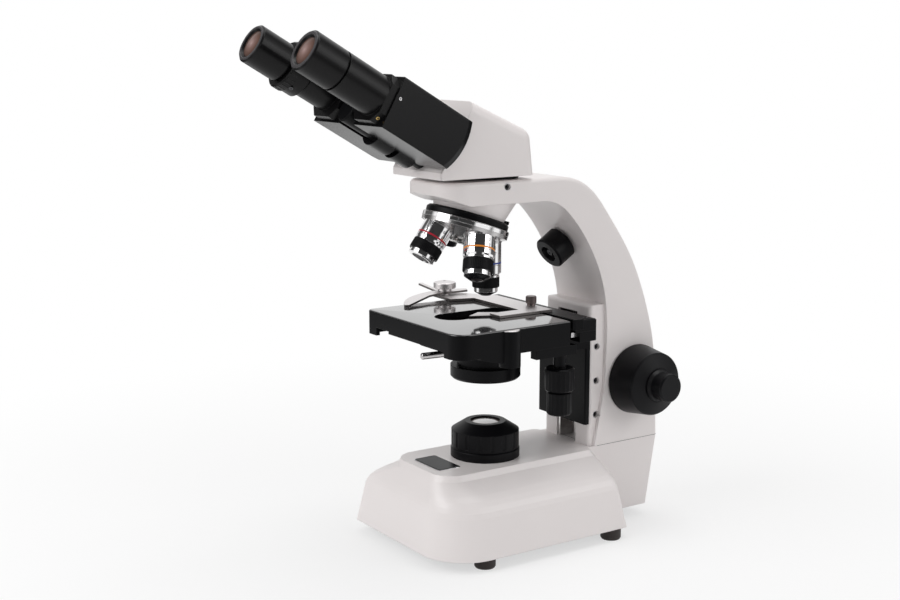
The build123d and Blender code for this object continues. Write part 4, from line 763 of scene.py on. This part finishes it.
brass = surface("brass_screw", (0.62, 0.43, 0.16), 0.28, metal=1.0, grain=2500.0, depth=0.006,
                soft=0.1, cloud=0.08)
slant = math.sqrt(0.5)
for side, body in ((1, "right_ocular"), (-1, "left_ocular")):
    corner_spot = at_tubes(side * 43 * mm, 226.6 * mm, 269 * mm)
    wall_spot = at_tubes(side * 48 * mm, 245 * mm, 262.5 * mm)
    screws = [grown(screw_tree, [(corner_spot, at_tubes(side * slant, -slant, 0))],
                    Head=1.3 * mm, Height=0.5 * mm, Socket=0.7 * mm, Material=brass),
              grown(screw_tree, [(wall_spot, at_tubes(side, 0, 0))],
                    Head=1.1 * mm, Height=0.4 * mm, Socket=0.6 * mm, Material=bright_trim)]
    piece(body + "_screws", together(screws), body)
ring_radius = 17.8
screw_turn = -0.96
screw_along = 305.6 * mm
screw_out = at_tubes(math.cos(screw_turn), math.sin(screw_turn), 0)
screw_spot = at_tubes(-tube_half, tube_rise, screw_along) + ring_radius * mm * screw_out
dioptre_screw = grown(screw_tree, [(screw_spot, screw_out)], Head=1.5 * mm, Height=0.6 * mm,
                      Socket=0.9 * mm, Material=dark_steel)
piece("dioptre_screw", dioptre_screw, "diopter")
piece("dioptre_grip",
      ribs(30, radius=ring_radius, low=307.6, high=313.0, width=1.5, proud=0.3, material=anodised,
           place=along_tubes @ Matrix.Translation((-tube_half, tube_rise, 0))),
      "diopter")


# Studio: a pale round floor that fades into a white surround, one large soft light at the front
# left, a weaker one at the right and one overhead. The room behind the camera is dark.
scene = bpy.context.scene
scene.view_settings.view_transform = "Standard"

floor_radius = 0.85
floor_sides = 96
turns = [2 * math.pi * i / floor_sides for i in range(floor_sides)]
floor_mesh = bpy.data.meshes.new("floor")
floor_edge = [(floor_radius * math.cos(a), floor_radius * math.sin(a), 0) for a in turns]
floor_mesh.from_pydata(floor_edge, [], [list(range(floor_sides))])
floor = bpy.data.objects.new("floor", floor_mesh)
scene.collection.objects.link(floor)
paper = bpy.data.materials.new("floor_paper")
paper.use_nodes = True
tree = paper.node_tree
matt = tree.nodes["Principled BSDF"]
matt.inputs["Base Color"].default_value = (0.86, 0.86, 0.86, 1)
matt.inputs["Roughness"].default_value = 0.8
path = add(tree, "ShaderNodeLightPath").outputs
seen = maths(tree, "MAXIMUM", path["Is Camera Ray"], path["Is Glossy Ray"])
seen = maths(tree, "MAXIMUM", seen, path["Is Transmission Ray"])
far = vectors(tree, "LENGTH", add(tree, "ShaderNodeTexCoord").outputs["Object"])
fade = eased(tree, far, start=0.15, end=0.7, low=0.6, high=1.0, curve="SMOOTHSTEP")
white = add(tree, "ShaderNodeEmission", {"Color": (1, 1, 1, 1), "Strength": 1.0})
blend = add(tree, "ShaderNodeMixShader", {0: maths(tree, "MULTIPLY", seen, fade),
                                          1: matt.outputs[0], 2: white.outputs[0]})
tree.links.new(blend.outputs[0], tree.nodes["Material Output"].inputs["Surface"])
floor_mesh.materials.append(paper)

world = bpy.data.worlds.new("studio")
scene.world = world
world.use_nodes = True
tree = world.node_tree


def levelled(tree, share, first, second):
    """A brightness between two others."""
    return add(tree, "ShaderNodeMix", {0: share, 2: first, 3: second}, data_type="FLOAT").outputs[0]


camera_way, side_way = (0.832, -0.555, 0), (0.555, 0.832, 0)
way = add(tree, "ShaderNodeTexCoord").outputs["Generated"]
ahead = vectors(tree, "DOT_PRODUCT", way, camera_way)
aside = maths(tree, "ABSOLUTE", vectors(tree, "DOT_PRODUCT", way, side_way))
rise = add(tree, "ShaderNodeSeparateXYZ", {0: way}).outputs["Z"]
# Gloss mirrors a room that is dark behind the camera, and far behind the object near the floor,
room = eased(tree, ahead, start=0.12, end=0.42, low=1.0, high=0.04, curve="SMOOTHSTEP")
back = eased(tree, ahead, start=-0.5, end=-0.2, low=0.14, high=1.0, curve="SMOOTHSTEP")
back = levelled(tree, eased(tree, rise, start=-0.06, end=0.08), back, 1.0)
mirrored = maths(tree, "MULTIPLY", room, back)
# with a low white screen along both sides,
beside = maths(tree, "MULTIPLY", eased(tree, aside, start=0.3, end=0.45),
               eased(tree, ahead, start=-0.4, end=-0.15))
level = eased(tree, maths(tree, "ABSOLUTE", rise), start=0.1, end=0.14, low=1.0, high=0.0)
mirrored = maths(tree, "MAXIMUM", mirrored, maths(tree, "MULTIPLY", beside, level))
# and a dark flag behind each screen.
flag = maths(tree, "MULTIPLY", eased(tree, aside, start=0.5, end=0.65),
             eased(tree, ahead, start=-0.1, end=-0.3))
mirrored = levelled(tree, flag, mirrored, 0.1)
path = add(tree, "ShaderNodeLightPath").outputs
plain = maths(tree, "MAXIMUM", path["Is Camera Ray"], path["Is Transmission Ray"])
fill_light = 0.42
lit = levelled(tree, plain, levelled(tree, path["Is Glossy Ray"], fill_light, mirrored), 1.0)
ground = tree.nodes["Background"]
ground.inputs["Color"].default_value = (1, 1, 1, 1)
tree.links.new(lit, ground.inputs["Strength"])

target = Vector((0, 0.02, 0.2))
for name, place, size, watts in (("front_left", (-0.2, -1.5, 1.15), 1.1, 15.0),
                                 ("right", (1.5, 0.9, 0.9), 0.9, 6.5),
                                 ("overhead", (0.0, 0.3, 1.7), 1.0, 10.5)):
    light = bpy.data.lights.new(name, "AREA")
    light.size = size
    light.energy = watts
    lamp = bpy.data.objects.new(name, light)
    lamp.location = place
    lamp.rotation_mode = "QUATERNION"
    lamp.rotation_quaternion = (target - Vector(place)).to_track_quat("-Z", "Y")
    scene.collection.objects.link(lamp)

eye = bpy.data.cameras.new("photographer")
eye.lens = 56.84
eye.sensor_width = 36
tripod = bpy.data.objects.new("photographer", eye)
tripod.location = (0.87113, -0.61363, 0.38303)
tripod.rotation_mode = "QUATERNION"
tripod.rotation_quaternion = Vector((-0.8183, 0.5457, -0.1805)).to_track_quat("-Z", "Y")
scene.collection.objects.link(tripod)
scene.camera = tripod
